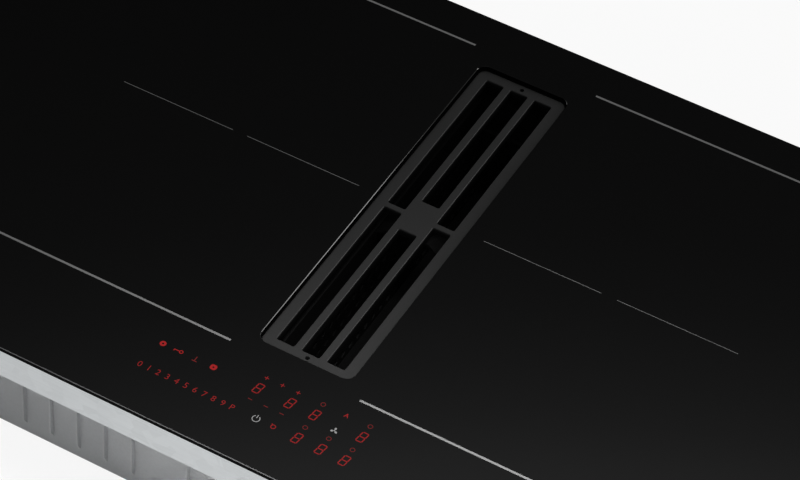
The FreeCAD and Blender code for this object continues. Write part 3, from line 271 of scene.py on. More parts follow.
def glassFinish(name, look):
    # glass-ceramic, black right through: a faint milky haze and wipe marks on the polished top,
    # bevels round the plate's rim paler, partly for their ground finish and partly as a painted
    # highlight along the arris, and matt sawn sides; crown and bevel are depths below the top, rim a
    # share of the way from the middle to the side
    finish = newFinish(name)
    x, y, z = finish.axes()
    haze = finish.noise(look["haze"], 4.0, 0.6)
    wipes = finish.noise(70.0, 3.0, 0.6, finish.stretched((1.0, 0.35, 1.0), (0.0, 0.0, 0.6)))
    saw = finish.noise(0.5, 3.0, 0.6, finish.stretched((1.0, 1.0, 6.0)))
    bevel = z < (glassTop - look["crown"]) * mm
    side = z < (glassTop - look["bevel"]) * mm
    nearFront = abs(y / (glassFront * mm)) > look["rim"]
    nearSide = abs(x / (glassSide * mm)) > look["rim"]
    rim = bevel * (nearFront + nearSide > 0.5)
    body = finish.blend(haze, tone(look["colour"], 0.85), tone(look["colour"], 1.15))
    # the rim's bevels take the paler edge colour: partly the ground bevel's own grey, partly a painted
    # highlight along the arris
    base = finish.blend(rim, body, look["edge"])
    rough = look["rough"] + (wipes - 0.5) * 0.02 + bevel * look["edgeRough"]
    polished = finish.shader(baseColor=base, roughness=rough, normal=finish.bump(haze, 0.002, 0.12),
                             ior=1.53)
    sawn = finish.shader(baseColor=finish.blend(saw, tone(look["side"], 0.7), look["side"]),
                         roughness=0.55 + saw * 0.2, normal=finish.bump(saw, 0.02, 0.4), specular=0.02)
    mixed = finish.add("ShaderNodeMixShader", {}, {0: side, 1: polished, 2: sawn})
    return finish.give(mixed)


def windingFinish(name, look):
    # litz wire: turns that follow each coil's own middle, twisted strands across them
    finish = newFinish(name)
    x, y = finish.axes()[:2]
    fromX = abs(abs(x) - look["coilX"] * mm)
    fromY = abs(abs(y - look["middleY"] * mm) - look["coilY"] * mm)
    turns = (fromX ** 4.0 + fromY ** 4.0) ** 0.25
    ridges = (turns * (2.0 * math.pi / (look["turn"] * mm))).maths("SINE") * 0.5 + 0.5
    strands = finish.noise(0.6, 2.0, 0.5, finish.stretched((1.0, 1.0, 3.0), (0.0, 0.0, 0.7)))
    base = finish.blend(ridges * 0.7 + strands * 0.3, tone(look["colour"], 0.45), look["colour"])
    rough = look["rough"] + (strands - 0.5) * 0.15
    normal = finish.bump(ridges + strands * 0.3, 0.4, 0.6)
    return finish.close(baseColor=base, roughness=rough, metallic=0.85, normal=normal)


def boardFinish(name, look):
    # circuit board: solder mask over copper tracks that run square to each other
    finish = newFinish(name)
    tracks = finish.add("ShaderNodeTexBrick", {"offset": 0.35},
                        {"Vector": finish.place(), "Scale": 1.0 / (look["track"] * mm),
                         "Mortar Size": 0.06, "Brick Width": 1.7, "Row Height": 0.5}, "Fac")
    speckle = finish.noise(1.2, 3.0)
    base = finish.blend(tracks, look["colour"], look["trackColour"])
    base = finish.blend(speckle * 0.3, base, tone(look["colour"], 0.6))
    rough = 0.34 + speckle * 0.12 + tracks * 0.08
    return finish.close(baseColor=base, roughness=rough, normal=finish.bump(tracks, 0.05, 0.5))


def sinteredFinish(name, look):
    # pressed powder or mica: flecks, mottling and a chipped, dull skin
    finish = newFinish(name)
    flecks = finish.cells(look["fleck"], "Color")
    fleck = finish.add("ShaderNodeSeparateXYZ", {}, {0: flecks})
    mottle = finish.noise(look["fleck"] * 4.0, 4.0)
    base = finish.blend(fleck * 0.6 + mottle * 0.4,
                        tone(look["colour"], 0.7), tone(look["colour"], 1.2))
    rough = look["rough"] + (fleck - 0.5) * 0.15
    return finish.close(baseColor=base, roughness=rough, normal=finish.bump(mottle, 0.05, 0.5))


def stackFinish(name, look):
    # laminated iron: thin sheets stacked along Z, and patches of rust over them
    finish = newFinish(name)
    z = finish.axes()[2]
    sheets = (z * (2.0 * math.pi / (look["sheet"] * mm))).maths("SINE") * 0.5 + 0.5
    rust = finish.noise(look["rust"], 4.0)
    base = finish.blend(sheets, tone(look["colour"], 0.5), look["colour"])
    base = finish.blend(rust * 0.2, base, look["rustColour"])
    rough = look["rough"] + (rust - 0.5) * 0.2
    return finish.close(baseColor=base, roughness=rough, metallic=0.8,
                        normal=finish.bump(sheets, 0.06, 0.7))


def printFinish(name, look):
    # fired enamel print: slightly uneven ink with pinholes
    finish = newFinish(name)
    ink = finish.noise(look["ink"], 3.0)
    holes = finish.cells(look["ink"] * 1.5)
    base = finish.blend(ink * 0.6 + holes * 0.4, tone(look["colour"], 0.85), tone(look["colour"], 1.1))
    return finish.close(baseColor=base, roughness=0.5 + (ink - 0.5) * 0.15,
                        normal=finish.bump(ink, 0.004, 0.3))


def lightFinish(name, look):
    # light that shines through the glass: brighter in the middle of a stroke's grain
    finish = newFinish(name)
    grain = finish.noise(look["grain"], 2.0)
    glow = finish.blend(grain, tone(look["colour"], look["low"]), look["colour"])
    return finish.close(baseColor=tone(look["colour"], 0.05), roughness=0.25 + grain * 0.1,
                        emission=glow, emissionStrength=look["level"])


makers = {"moulded": mouldedFinish, "sheet": sheetFinish, "soft": softFinish, "coated": coatedFinish,
          "glass": glassFinish, "winding": windingFinish, "board": boardFinish,
          "sintered": sinteredFinish, "stack": stackFinish, "print": printFinish, "light": lightFinish}

# streaks drawn out along one axis
alongX, alongY = (0.03, 1.0, 1.0), (1.0, 0.03, 1.0)
litRed = (0.75, 0.014, 0.016)

# each finish: its kind of surface, then the values of that kind; lengths are in millimetres
looks = {
    # the glass's edge colour paints a highlight on the rim's bevels as well as giving their ground grey
    "black_glass": {"kind": "glass", "colour": (0.0006, 0.0006, 0.00062), "rough": 0.035, "haze": 14.0,
                    "edge": (0.1, 0.1, 0.102), "edgeRough": 0.07, "crown": 0.012, "bevel": 0.55,
                    "rim": 0.98, "side": (0.001, 0.001, 0.001)},
    "foam": {"kind": "soft", "colour": (0.02, 0.02, 0.021), "rough": 0.85, "pores": 0.5},
    "silicone": {"kind": "soft", "colour": (0.06, 0.06, 0.062), "rough": 0.6, "pores": 0.9,
                 "depth": 0.03},
    "black_plastic": {"kind": "moulded", "colour": (0.02, 0.02, 0.021), "rough": 0.5, "grain": 0.45},
    "white_plastic": {"kind": "moulded", "colour": (0.72, 0.72, 0.69), "rough": 0.45, "grain": 0.6},
    "blue_plastic": {"kind": "moulded", "colour": (0.05, 0.12, 0.4), "rough": 0.3, "grain": 1.2,
                     "depth": 0.01},
    "gland_plastic": {"kind": "moulded", "colour": (0.16, 0.16, 0.165), "rough": 0.5, "grain": 0.4},
    "airbox_plastic": {"kind": "moulded", "colour": (0.42, 0.43, 0.44), "rough": 0.52, "grain": 0.8,
                       "depth": 0.04, "clouds": 90.0},
    "impeller_plastic": {"kind": "moulded", "colour": (0.1, 0.1, 0.1), "rough": 0.45, "grain": 0.7},
    "tray_plastic": {"kind": "moulded", "colour": (0.03, 0.03, 0.03), "rough": 0.35, "grain": 1.4,
                     "depth": 0.01},
    # the grille's shade values paint shade down the walls of its slots
    "grille_coating": {"kind": "coated", "colour": (0.0245, 0.0245, 0.0245), "rough": 0.32, "grain": 0.4,
                       "depth": 0.01, "strength": 0.3, "specular": 0.3, "shade": (0.5, 3.0, 0.15)},
    "filter_coating": {"kind": "coated", "colour": (0.005, 0.005, 0.005), "rough": 0.55, "grain": 0.5,
                       "specular": 0.12},
    "well_plastic": {"kind": "moulded", "colour": (0.005, 0.005, 0.005), "rough": 0.6, "grain": 0.5,
                     "specular": 0.12},
    "filter_aluminium": {"kind": "sheet", "colour": (0.016, 0.016, 0.016), "rough": 0.42, "streak": 1.2,
                         "stretch": (1.0, 1.0, 0.2), "metallic": 0.6},
    "zinc_steel": {"kind": "sheet", "colour": (0.55, 0.57, 0.58), "rough": 0.38, "streak": 1.6,
                   "stretch": alongX, "spangle": 11.0, "spangleDepth": 0.2},
    "screw_steel": {"kind": "sheet", "colour": (0.6, 0.6, 0.58), "rough": 0.3, "streak": 0.3,
                    "stretch": (1.0, 1.0, 0.3)},
    "aluminium": {"kind": "sheet", "colour": (0.75, 0.75, 0.76), "rough": 0.34, "streak": 0.5,
                  "stretch": alongY},
    "copper_litz": {"kind": "winding", "colour": (0.72, 0.36, 0.2), "rough": 0.4, "turn": 2.2,
                    "coilX": 163.55, "coilY": 95.35, "middleY": 29.9},
    "ferrite": {"kind": "sintered", "colour": (0.07, 0.07, 0.075), "rough": 0.6, "fleck": 0.8},
    "mica": {"kind": "sintered", "colour": (0.62, 0.58, 0.5), "rough": 0.45, "fleck": 2.5},
    "board_laminate": {"kind": "board", "colour": (0.03, 0.2, 0.09), "trackColour": (0.08, 0.34, 0.16),
                       "track": 9.0},
    "motor_iron": {"kind": "stack", "colour": (0.3, 0.3, 0.3), "rough": 0.45, "sheet": 0.5,
                   "rust": 6.0, "rustColour": (0.18, 0.08, 0.04)},
    "printed_marks": {"kind": "print", "colour": (0.19, 0.19, 0.19), "ink": 0.7},
    "lit_marks": {"kind": "light", "colour": litRed, "grain": 0.8, "low": 0.75, "level": 0.42},
    "digit_marks": {"kind": "light", "colour": litRed, "grain": 0.8, "low": 0.75, "level": 0.3},
    "dim_marks": {"kind": "light", "colour": (0.3, 0.012, 0.012), "grain": 0.8, "low": 0.7,
                  "level": 0.5},
    "pale_marks": {"kind": "light", "colour": (0.5, 0.5, 0.5), "grain": 0.8, "low": 0.8,
                   "level": 0.62},
}
finishes = {name: makers[look["kind"]](name, look) for name, look in looks.items()}

# nodes with a finish of their own instead of their slot's
nodeFinish = {"filter_frame": "filter_coating", "filter_handle": "filter_coating",
              "inlet_surround": "well_plastic"}

for entry in frame["record"]["subparts"]:
    mesh = nodes[entry["node"]].data
    mesh.materials.clear()
    mesh.materials.append(finishes[nodeFinish.get(entry["node"], entry["material_slot"])])
print("finishes made:", len(finishes))


# shapes: every one is a pair of points and faces, in millimetres

def sweepFaces(count, around, closed):
    # quads between the sections of a sweep; each section has the same number of points around
    first = np.arange(count if closed else count - 1)
    step, side = np.meshgrid(first, np.arange(around), indexing="ij")
    after, beside = (step + 1) % count, (side + 1) % around
    quads = np.stack([step * around + side, step * around + beside,
                      after * around + beside, after * around + side], -1)
    faces = quads.reshape(-1, 4).tolist()
    if not closed:
        faces.append(list(range(around))[::-1])
        faces.append([(count - 1) * around + side for side in range(around)])
    return faces


def ribbon(path, width, low, high, closed=False):
    # a bar of oblong section along a flat path: each point of the path moved by half the width
    # along the mitre between the run before it and the run after it
    path = np.asarray(path, float)
    ahead = np.roll(path, -1, 0) - path
    behind = path - np.roll(path, 1, 0)
    if not closed:
        ahead[-1] = behind[-1]
        behind[0] = ahead[0]
    ahead = ahead / np.linalg.norm(ahead, axis=1, keepdims=True)
    behind = behind / np.linalg.norm(behind, axis=1, keepdims=True)
    mitre = np.stack([-(ahead + behind)[:, 1], (ahead + behind)[:, 0]], 1)
    mitre = mitre / np.linalg.norm(mitre, axis=1, keepdims=True)
    square = np.stack([-ahead[:, 1], ahead[:, 0]], 1)
    mitre = mitre * width / 2 / np.sum(mitre * square, 1, keepdims=True)
    left, right = path + mitre, path - mitre
    section = [np.column_stack([flat, np.full(len(path), height)])
               for flat, height in ((left, low), (left, high), (right, high), (right, low))]
    return np.stack(section, 1).reshape(-1, 3), sweepFaces(len(path), 4, closed)


def slab(outline, low, high):
    # a flat outline carried from the low height to the high one
    outline = np.asarray(outline, float)
    rings = [np.column_stack([outline, np.full(len(outline), height)]) for height in (low, high)]
    return np.concatenate(rings), sweepFaces(2, len(outline), False)


def arcPath(centre, radius, start, end, count=24):
    # points at even angles, in degrees, on a circle
    angles = np.radians(np.linspace(start, end, count))
    return np.column_stack([centre[0] + radius * np.cos(angles), centre[1] + radius * np.sin(angles)])


def ringPath(centre, radius, count=24):
    # a whole circle, without its first point again at the end
    return arcPath(centre, radius, 0, 360 - 360 / count, count)


def roundedOblong(centre, width, height, radius, count=6):
    # four quarter circles in turn
    corners = []
    for turn, (sideX, sideY) in enumerate(((1, 1), (-1, 1), (-1, -1), (1, -1))):
        middle = (centre[0] + sideX * (width / 2 - radius), centre[1] + sideY * (height / 2 - radius))
        corners.append(arcPath(middle, radius, 90 * turn, 90 * turn + 90, count))
    return np.concatenate(corners)


sharpAngle = math.radians(35.0)   # edges that bend more stay sharp in a smooth piece


def makePiece(name, shapes, finishName, body="hob", smooth=False):
    points, faces, start = [], [], 0
    for shapePoints, shapeFaces in shapes:
        points.append(np.asarray(shapePoints, float))
        faces += [[start + corner for corner in face] for face in shapeFaces]
        start += len(shapePoints)
    mesh = bpy.data.meshes.new(name)
    mesh.from_pydata((np.concatenate(points) * mm).tolist(), [], faces)
    work = bmesh.new()
    work.from_mesh(mesh)
    bmesh.ops.recalc_face_normals(work, faces=work.faces)
    work.to_mesh(mesh)
    work.free()
    mesh.polygons.foreach_set("use_smooth", np.full(len(mesh.polygons), smooth))
    mesh.set_sharp_from_angle(angle=sharpAngle)
    mesh.materials.append(finishes[finishName])
    piece = bpy.data.objects.new(name, mesh)
    bpy.context.scene.collection.objects.link(piece)
    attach(piece, body)
    return piece


# marks are a film in the top of the glass: how deep it reaches, and how far it stands over it
filmDepth, filmRise = 0.02, 0.03
markLow, markHigh = glassTop - filmDepth, glassTop + filmRise

# zone marks printed on the glass

zoneMarks = {"inner": 55.3, "outer": 271.8, "boldY": (-160.74, 221.1), "boldWidth": 1.9,
             "thinY": 29.94, "thinWidth": 0.45, "gap": (156.9, 170.2)}


def zoneMarkShapes(look):
    shapes = []
    for side in (-1, 1):
        runs = [(look["inner"], look["outer"], y, look["boldWidth"]) for y in look["boldY"]]
        runs.append((look["inner"], look["gap"][0], look["thinY"], look["thinWidth"]))
        runs.append((look["gap"][1], look["outer"], look["thinY"], look["thinWidth"]))
        for near, far, y, width in runs:
            shapes.append(ribbon([(side * near, y), (side * far, y)], width, markLow, markHigh))
    return shapes


makePiece("zoneMarks", zoneMarkShapes(zoneMarks), "printed_marks")

# lit keys

keyRows = {"bottom": -216.05, "middle": -190.3, "plus": -178.4, "minus": -202.3, "ring": -204.3}
sliderKeys = {"text": "0123456789P", "first": -99.4, "pitch": 7.92, "height": 5.2, "weight": -0.006}


def letterShape(text, height, centre, weight=0.0):
    # a letter of the plain built-in face, scaled to its height and set on its middle
    curve = bpy.data.curves.new("letter", "FONT")
    curve.body = text
    curve.extrude = 1.0
    curve.offset = weight
    curve.resolution_u = 3
    holder = bpy.data.objects.new("letter", curve)
    bpy.context.scene.collection.objects.link(holder)
    bpy.context.view_layer.update()
    mesh = bpy.data.meshes.new_from_object(holder)
    points = np.empty(len(mesh.vertices) * 3)
    mesh.vertices.foreach_get("co", points)
    points = points.reshape(-1, 3)
    faces = [list(face.vertices) for face in mesh.polygons]
    low, high = points.min(0), points.max(0)
    scale = height / (high[1] - low[1])
    flat = (points[:, :2] - (low[:2] + high[:2]) / 2) * scale + np.asarray(centre)
    rise = np.where(points[:, 2] > 0, markHigh, markLow)
    bpy.data.objects.remove(holder)
    bpy.data.curves.remove(curve)
    bpy.data.meshes.remove(mesh)
    return np.column_stack([flat, rise]), faces


def sliderShapes(look):
    places = [(look["first"] + number * look["pitch"], keyRows["bottom"])
              for number in range(len(look["text"]))]
    return [letterShape(sign, look["height"], place, look["weight"])
            for sign, place in zip(look["text"], places)]


makePiece("sliderDigits", sliderShapes(sliderKeys), "digit_marks")

displayKeys = {"places": ((-13.5, "middle"), (13.5, "middle"), (34.5, "middle"), (74.1, "middle"),
                          (34.5, "bottom"), (54.3, "bottom"), (74.1, "bottom")),
               "width": 4.9, "height": 9.4, "stroke": 0.85, "gap": 0.12, "slant": 0.14}


def segmentShape(start, end, look):
    # a bar with pointed ends, a little short of the corners, leaned by the slant
    start, end = np.asarray(start, float), np.asarray(end, float)
    along = (end - start) / np.linalg.norm(end - start)
    across = np.array([-along[1], along[0]]) * look["stroke"] / 2
    tip, shoulder = look["gap"], look["gap"] + look["stroke"] / 2
    return np.array([start + along * tip, start + along * shoulder - across,
                     end - along * shoulder - across, end - along * tip,
                     end - along * shoulder + across, start + along * shoulder + across])


def displayShapes(look):
    halfX, halfY = look["width"] / 2, look["height"] / 2
    corners = {(i, j): (i * halfX, j * halfY) for i in (-1, 1) for j in (-1, 0, 1)}
    runs = [((-1, j), (1, j)) for j in (-1, 0, 1)]
    runs += [((i, j), (i, j + 1)) for i in (-1, 1) for j in (-1, 0)]
    shapes = []
    for x, row in look["places"]:
        for first, last in runs:
            outline = segmentShape(corners[first], corners[last], look)
            outline[:, 0] += outline[:, 1] * look["slant"]
            shapes.append(slab(outline + (x, keyRows[row]), markLow, markHigh))
    return shapes


makePiece("displayDigits", displayShapes(displayKeys), "digit_marks")

stepKeys = {"columns": (-13.4, 0.0, 13.4), "size": 3.6, "stroke": 0.62}


def stepShapes(look, row, crossed):
    shapes = []
    half, stroke = look["size"] / 2, look["stroke"] / 2
    for x in look["columns"]:
        y = keyRows[row]
        if crossed:
            outline = [(half, stroke), (stroke, stroke), (stroke, half), (-stroke, half),
                       (-stroke, stroke), (-half, stroke), (-half, -stroke), (-stroke, -stroke),
                       (-stroke, -half), (stroke, -half), (stroke, -stroke), (half, -stroke)]
            shapes.append(slab(np.array(outline) + (x, y), markLow, markHigh))
        else:
            shapes.append(ribbon([(x - half, y), (x + half, y)], look["stroke"], markLow, markHigh))
    return shapes


makePiece("plusKeys", stepShapes(stepKeys, "plus", True), "digit_marks")
makePiece("minusKeys", stepShapes(stepKeys, "minus", False), "dim_marks")

ringKeys = {"places": ((34.5, "plus"), (74.1, "plus"), (34.5, "ring"), (54.3, "ring"), (74.1, "ring")),
            "radius": 1.75, "stroke": 0.5}


def ringShapes(look):
    return [ribbon(ringPath((x, keyRows[row]), look["radius"]), look["stroke"],
                   markLow, markHigh, True) for x, row in look["places"]]


makePiece("timerRings", ringShapes(ringKeys), "dim_marks")

symbolKeys = {"lock": -52.0, "lockSize": (3.4, 3.2, 1.0), "lockStroke": 1.9,
              "round": -95.7, "roundRadius": 1.7, "roundStroke": 1.7,
              "key": -82.2, "bow": (2.3, 1.35), "shank": (0.6, -3.4), "tooth": 1.5,
              "stand": -67.4, "foot": (2.1, -2.3), "stem": (-1.95, 2.4),
              "timer": 14.5, "timerRadius": 1.75, "stub": (1.5, 2.3),
              "automatic": 54.3, "letter": "A", "letterHeight": 3.8, "letterWeight": 0.02,
              "stroke": 0.7}


def brightSymbolShapes(look):
    # the filled square and the filled disc keep a dark middle; the key lies with its ring to the right
    y, stroke, key = keyRows["middle"], look["stroke"], look["key"]
    (bowPlace, bowRadius), (shankStart, shankEnd) = look["bow"], look["shank"]
    lock = ribbon(roundedOblong((look["lock"], y), *look["lockSize"]), look["lockStroke"],
                  markLow, markHigh, True)
    disc = ribbon(ringPath((look["round"], y), look["roundRadius"]), look["roundStroke"],
                  markLow, markHigh, True)
    bow = ribbon(ringPath((key + bowPlace, y), bowRadius, 20), stroke, markLow, markHigh, True)
    shank = ribbon([(key + shankStart, y), (key + shankEnd, y), (key + shankEnd, y - look["tooth"])],
                   stroke, markLow, markHigh)
    return [lock, disc, bow, shank]


def timerSymbolShapes(look):
    # the timer's ring has a stub at its upper left; the letter stands over its own timer
    timer, stroke, y = look["timer"], look["stroke"], keyRows["bottom"]
    ring = ribbon(ringPath((timer, y), look["timerRadius"]), stroke, markLow, markHigh, True)
    stub = ribbon([(timer - out, y + out) for out in look["stub"]], stroke, markLow, markHigh)
    letter = letterShape(look["letter"], look["letterHeight"], (look["automatic"], keyRows["plus"]),
                         look["letterWeight"])
    return [ring, stub, letter]


def quietSymbolShapes(look):
    # a stand: a bar for the foot and an upright on it
    y, stroke, stand = keyRows["middle"], look["stroke"], look["stand"]
    (reach, drop), (low, high) = look["foot"], look["stem"]
    foot = ribbon([(stand - reach, y + drop), (stand + reach, y + drop)], stroke, markLow, markHigh)
    stem = ribbon([(stand, y + low), (stand, y + high)], stroke, markLow, markHigh)
    return [foot, stem]


makePiece("brightSymbols", brightSymbolShapes(symbolKeys), "lit_marks")
makePiece("timerSymbols", timerSymbolShapes(symbolKeys), "digit_marks")
makePiece("quietSymbols", quietSymbolShapes(symbolKeys), "dim_marks")

paleKeys = {"fan": (53.9, -195.6), "lobe": (1.1, 0.8), "lobes": (90, 210, 330), "reach": 1.9,
            "stem": 0.5, "power": (0.0, -216.0), "ring": 2.9, "ringAngles": (122, 418),
            "bar": (0.6, 3.8), "stroke": 0.6}


def paleSymbolShapes(look):
    # a fan, whose lobes are ovals on stems from its middle, and the broken ring with its bar
    shapes = []
    for angle in look["lobes"]:
        turn = math.radians(angle)
        outward = np.array([math.cos(turn), math.sin(turn)])
        middle = np.array(look["fan"]) + look["reach"] * outward
        oval = ringPath((0, 0), 1.0, 20) * look["lobe"]
        spin = np.array([[math.cos(turn), -math.sin(turn)], [math.sin(turn), math.cos(turn)]])
        shapes.append(slab(oval @ spin.T + middle, markLow, markHigh))
        shapes.append(ribbon([look["fan"], middle], look["stem"], markLow, markHigh))
    (x, y), stroke = look["power"], look["stroke"]
    ring = arcPath((x, y), look["ring"], *look["ringAngles"], 36)
    shapes.append(ribbon(ring, stroke, markLow, markHigh))
    shapes.append(ribbon([(x, y + rise) for rise in look["bar"]], stroke, markLow, markHigh))
    return shapes


makePiece("paleSymbols", paleSymbolShapes(paleKeys), "pale_marks")
print("marks on the glass made")

# moulded ribs on the walls of the airbox, in step with the screws of its joint

airboxLow, airboxHigh = (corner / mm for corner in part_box("airbox_lower"))
airboxWalls = {"flange": 8.0, "screw": 54.0, "bays": 12}
airboxRibs = {"proud": 4.0, "root": 2.4, "tip": 1.4, "sunk": 0.4, "slope": 8.0,
              "lower": (75.5, 14.0), "upper": (80.5, 154.0),
              "outlet": (-150.0, 118.0), "lone": (69.0, 10.0)}


def wallGrid(start, end):
    # even places along a wall, with the joint's screws at the first, the middle and the last, and
    # one place beyond them at each end; then which places are clear of the screws
    bays = airboxWalls["bays"]
    first, last = start + airboxWalls["screw"], end - airboxWalls["screw"]
    steps = np.arange(-1, bays + 2)
    return first + steps * (last - first) / bays, steps % (bays // 2) > 0


def ribShape(foot, outward, stations, look):
    # a bar standing out from a wall: at each height an oblong from inside the wall to the reach
    # there, narrower at its outer side
    foot, outward = np.asarray(foot, float), np.asarray(outward, float)
    across = np.array([-outward[1], outward[0]])
    near = foot - outward * look["sunk"]
    sections = []
    for height, reach in stations:
        far = foot + outward * reach
        flat = np.array([near - across * look["root"] / 2, near + across * look["root"] / 2,
                         far + across * look["tip"] / 2, far - across * look["tip"] / 2])
        sections.append(np.column_stack([flat, np.full(4, height)]))
    return np.concatenate(sections), sweepFaces(len(stations), 4, False)


def airboxRibShapes(look):
    # ribs over and under the flange, on all walls but where the outlet and the lone screw are; each
    # runs from the flange to its end and slopes into the wall there
    flange = airboxWalls["flange"]
    left, front = airboxLow[0] + flange, airboxLow[1] + flange
    right, back = airboxHigh[0] - flange, airboxHigh[1] - flange
    placesX, clearX = wallGrid(left, right)
    placesY, clearY = wallGrid(front, back)
    outlet, lone = look["outlet"], look["lone"]
    clearBack = (abs(placesX - outlet[0]) > outlet[1]) & (abs(placesX - lone[0]) > lone[1])
    feet = [((x, front), (0, -1)) for x in placesX[clearX]]
    feet += [((x, back), (0, 1)) for x in placesX[clearBack]]
    feet += [((left, y), (-1, 0)) for y in placesY[clearY]]
    feet += [((right, y), (1, 0)) for y in placesY[clearY]]
    shapes = []
    for foot, outward in feet:
        for joint, end in (look["lower"], look["upper"]):
            turn = end + math.copysign(look["slope"], joint - end)
            stations = ((joint, look["proud"]), (turn, look["proud"]), (end, 0.0))
            shapes.append(ribShape(foot, outward, stations, look))
    return shapes


makePiece("airboxRibs", airboxRibShapes(airboxRibs), "airbox_plastic")

# screws with a cross recess, each in the place of a plain one

screwForm = {"head": 3.8, "height": 2.4, "edge": 0.9, "flat": 2.3, "rounds": 6, "shank": 2.0,
             "arm": 1.9, "slot": 0.5, "depth": 1.4, "taper": 0.7}
casingLow, casingHigh = (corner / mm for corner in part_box("casing_frame"))
rimScrews = {"long": (-300.0, 0.0, 300.0), "short": (-75.0, 75.0), "height": 161.5, "length": 4.8}
floorScrews = {"x": (-301.5, -111.0, 79.5), "y": (-151.5, 215.5), "height": 157.0, "length": 7.0}
jointScrews = {"height": 75.5, "length": 5.0}


def crossOutline(arm, slot, steps=4):
    # the twelve corners of a cross in turn, with the edges between them divided evenly
    corners = np.array([(arm, -slot), (arm, slot), (slot, slot), (slot, arm), (-slot, arm),
                        (-slot, slot), (-arm, slot), (-arm, -slot), (-slot, -slot), (-slot, -arm),
                        (slot, -arm), (slot, -slot)])
    share = np.arange(steps)[:, None] / steps
    ahead = np.roll(corners, -1, 0) - corners
    return (corners[:, None] + ahead[:, None] * share).reshape(-1, 2)


def screwShape(seat, outward, length, look):
    # a profile turned about the axis from the shank's end to the flat of the head, then a cross
    # that sinks and narrows; each ring has a point at the angle of each point of the cross
    cross = crossOutline(look["arm"], look["slot"])
    way = cross / np.linalg.norm(cross, axis=1, keepdims=True)
    bend = np.linspace(0.0, math.pi / 2, look["rounds"])
    dome = np.column_stack([look["flat"] + (look["head"] - look["flat"]) * np.cos(bend),
                            look["edge"] + (look["height"] - look["edge"]) * np.sin(bend)])
    stem = [(look["shank"], -length), (look["shank"], 0.0), (look["head"], 0.0)]
    rings = [np.column_stack([way * radius, np.full(len(way), height)])
             for radius, height in np.concatenate([stem, dome])]
    for share, depth in ((1.0, 0.0), (look["taper"], look["depth"])):
        rings.append(np.column_stack([cross * share, np.full(len(way), look["height"] - depth)]))
    axis = Vector(outward)
    side = axis.orthogonal().normalized()
    basis = np.array([side, axis.cross(side), axis])
    return np.concatenate(rings) @ basis + np.asarray(seat), sweepFaces(len(rings), len(way), False)


def casingScrewShapes(look):
    # screws in the rims of the frame, front, back and sides, and in the floor over the airbox
    shapes = []
    for side, reachX, reachY in ((-1, casingLow[0], casingLow[1]), (1, casingHigh[0], casingHigh[1])):
        seats = [((x, reachY, rimScrews["height"]), (0, side, 0)) for x in rimScrews["long"]]
        seats += [((reachX, y, rimScrews["height"]), (side, 0, 0)) for y in rimScrews["short"]]
        shapes += [screwShape(seat, outward, rimScrews["length"], look) for seat, outward in seats]
    seats = [(x, y, floorScrews["height"]) for x in floorScrews["x"] for y in floorScrews["y"]]
    shapes += [screwShape(seat, (0, 0, 1), floorScrews["length"], look) for seat in seats]
    return shapes


def jointScrewShapes(look):
    out, inset = airboxWalls["flange"] / 2, airboxWalls["flange"] + airboxWalls["screw"]
    placesX, placesY = (np.linspace(low + inset, high - inset, 3)
                        for low, high in zip(airboxLow[:2], airboxHigh[:2]))
    seats = [(x, y) for x in (airboxLow[0] + out, airboxHigh[0] - out) for y in placesY]
    seats += [(x, airboxLow[1] + out) for x in placesX]
    seats.append((airboxRibs["lone"][0], airboxHigh[1] - out))
    return [screwShape((x, y, jointScrews["height"]), (0, 0, -1), jointScrews["length"], look)
            for x, y in seats]


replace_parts(makePiece("casingScrews", casingScrewShapes(screwForm), "screw_steel", smooth=True),
            "casing_screws")
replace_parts(makePiece("jointScrews", jointScrewShapes(screwForm), "screw_steel", smooth=True),
            "joint_screws")
print("ribs and screws made")

# camera, as the photograph was taken

viewPoint = {"eye": (0.73431, -1.51366, 1.96709), "look": (-0.30251654, 0.6224286, -0.72184928),
             "up": (-0.38941837, 0.61053075, 0.6896416), "lens": 142.46, "sensor": 36.0,
             "farthest": 200.0}


def placeCamera(look):
    data = bpy.data.cameras.new("camera")
    data.lens = look["lens"]
    data.sensor_width = look["sensor"]
    data.clip_end = look["farthest"]
    camera = bpy.data.objects.new("camera", data)
    bpy.context.scene.collection.objects.link(camera)
    ahead, up = Vector(look["look"]).normalized(), Vector(look["up"]).normalized()
    turn = Matrix((ahead.cross(up), up, -ahead)).transposed()
    camera.matrix_world = Matrix.Translation(look["eye"]) @ turn.to_4x4()
    bpy.context.scene.camera = camera


placeCamera(viewPoint)

# floor, world and soft lamps

floorLook = {"reach": 40.0, "height": -0.0005, "colour": (0.82, 0.82, 0.82), "seen": 1.05,
             "share": 0.85}


def seenShare(finish):
    # one for rays from the camera and for those mirrored or let through
    path = finish.add("ShaderNodeLightPath", output="Is Camera Ray")
    return path + path.output("Is Glossy Ray") + path.output("Is Transmission Ray")


def layFloor(look):
    # a plain square; seen directly or mirrored, most of it is an even pale tone
    finish = newFinish("floorFinish")
    plain = finish.add("ShaderNodeBsdfDiffuse", {}, {"Color": look["colour"]})
    pale = finish.add("ShaderNodeEmission", {}, {"Color": (look["seen"],) * 3, "Strength": 1.0})
    share = seenShare(finish) * look["share"]
    mixed = finish.add("ShaderNodeMixShader", {}, {0: share, 1: plain, 2: pale})
    finish.add("ShaderNodeOutputMaterial", {}, {"Surface": mixed})
    mesh = bpy.data.meshes.new("floor")
    reach, height = look["reach"], look["height"]
    mesh.from_pydata([(-reach, -reach, height), (reach, -reach, height), (reach, reach, height),
                      (-reach, reach, height)], [], [(0, 1, 2, 3)])
    mesh.materials.append(finish.owner)
    floor = bpy.data.objects.new("floor", mesh)
    bpy.context.scene.collection.objects.link(floor)


layFloor(floorLook)

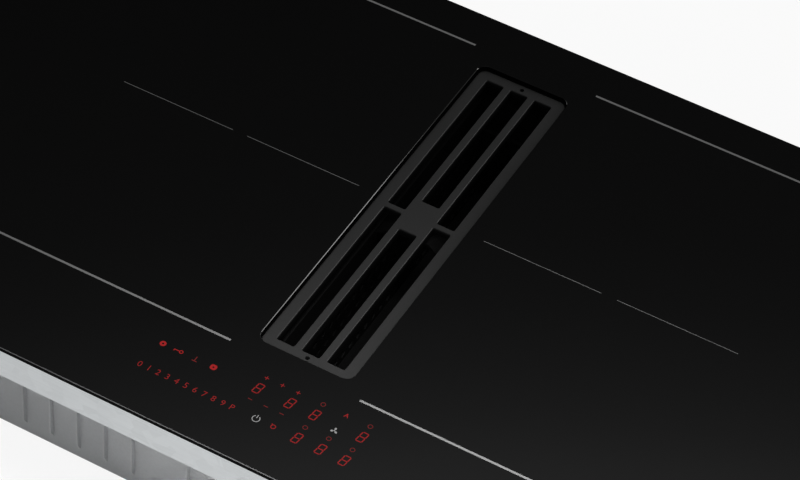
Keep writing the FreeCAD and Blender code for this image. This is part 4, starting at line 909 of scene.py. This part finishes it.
# levels of the studio by the sine of the height above the horizon, behind the hob and before it;
# the soft light comes from one side, and its focus is how closely it keeps to that side
studio = {"behind": ((0.0, 0.94), (0.2, 0.7), (0.36, 0.25), (0.5, 0.06), (0.62, 0.035), (0.65, 0.045),
                     (0.68, 0.056), (0.7, 0.068), (0.717, 0.093), (0.732, 0.142), (0.742, 0.19),
                     (0.753, 0.28), (0.8, 0.5), (1.0, 0.55)),
          "before": ((0.0, 0.9), (0.25, 0.4), (0.45, 0.1), (0.6, 0.05), (0.8, 0.15), (1.0, 0.55)),
          "meeting": 2.5, "lean": 0.06, "from": (0.55, 0.45, 0.7), "focus": 4.0,
          "light": (0.22, 0.85)}


def lightStudio(look):
    finish = Finish(bpy.data.worlds.new("studio"))
    bpy.context.scene.world = finish.owner
    way = finish.add("ShaderNodeTexCoord", output="Generated")
    x = finish.add("ShaderNodeSeparateXYZ", {}, {0: way})
    y, height = x.output("Y"), x.output("Z")
    levels = finish.blend(finish.clamp(y * look["meeting"] + 0.5),
                          finish.ramp(height, look["before"]),
                          finish.ramp(height + x * look["lean"], look["behind"]))
    seen = finish.add("ShaderNodeBackground", {}, {"Color": levels, "Strength": 1.0})
    facing = finish.add("ShaderNodeVectorMath", {"operation": "DOT_PRODUCT"},
                        {0: way, 1: look["from"]}, 1)
    shade = finish.ramp((facing * 0.5 + 0.5) ** look["focus"], tuple(enumerate(look["light"])))
    light = finish.add("ShaderNodeBackground", {}, {"Color": shade, "Strength": 1.0})
    mixed = finish.add("ShaderNodeMixShader", {}, {0: seenShare(finish), 1: light, 2: seen})
    finish.add("ShaderNodeOutputWorld", {}, {"Surface": mixed})


lightStudio(studio)

# each lamp: where it stands, what it faces, its size in metres, its power and the width of its beam
lamps = {
    "topLamp": {"place": (0.35, -0.55, 1.5), "aim": (0.2, -0.42, 0.2), "size": (0.3, 0.3),
                "power": 2.7, "beam": 37.0},
    "sideLamp": {"place": (1.55, 1.28, 0.92), "aim": (-0.04, -0.06, 0.216), "size": (0.3, 0.4),
                 "power": 2.2, "beam": 180.0},
}


def hangLamp(name, look):
    data = bpy.data.lights.new(name, "AREA")
    data.shape = "RECTANGLE"
    data.size, data.size_y = look["size"]
    data.energy = look["power"]
    data.spread = math.radians(look["beam"])
    lamp = bpy.data.objects.new(name, data)
    bpy.context.scene.collection.objects.link(lamp)
    turn = (Vector(look["aim"]) - Vector(look["place"])).to_track_quat("-Z", "Y")
    lamp.matrix_world = Matrix.Translation(look["place"]) @ turn.to_matrix().to_4x4()


for lampName, lampLook in lamps.items():
    hangLamp(lampName, lampLook)
bpy.context.scene.view_settings.view_transform = "Standard"
print("camera, floor and lamps placed")
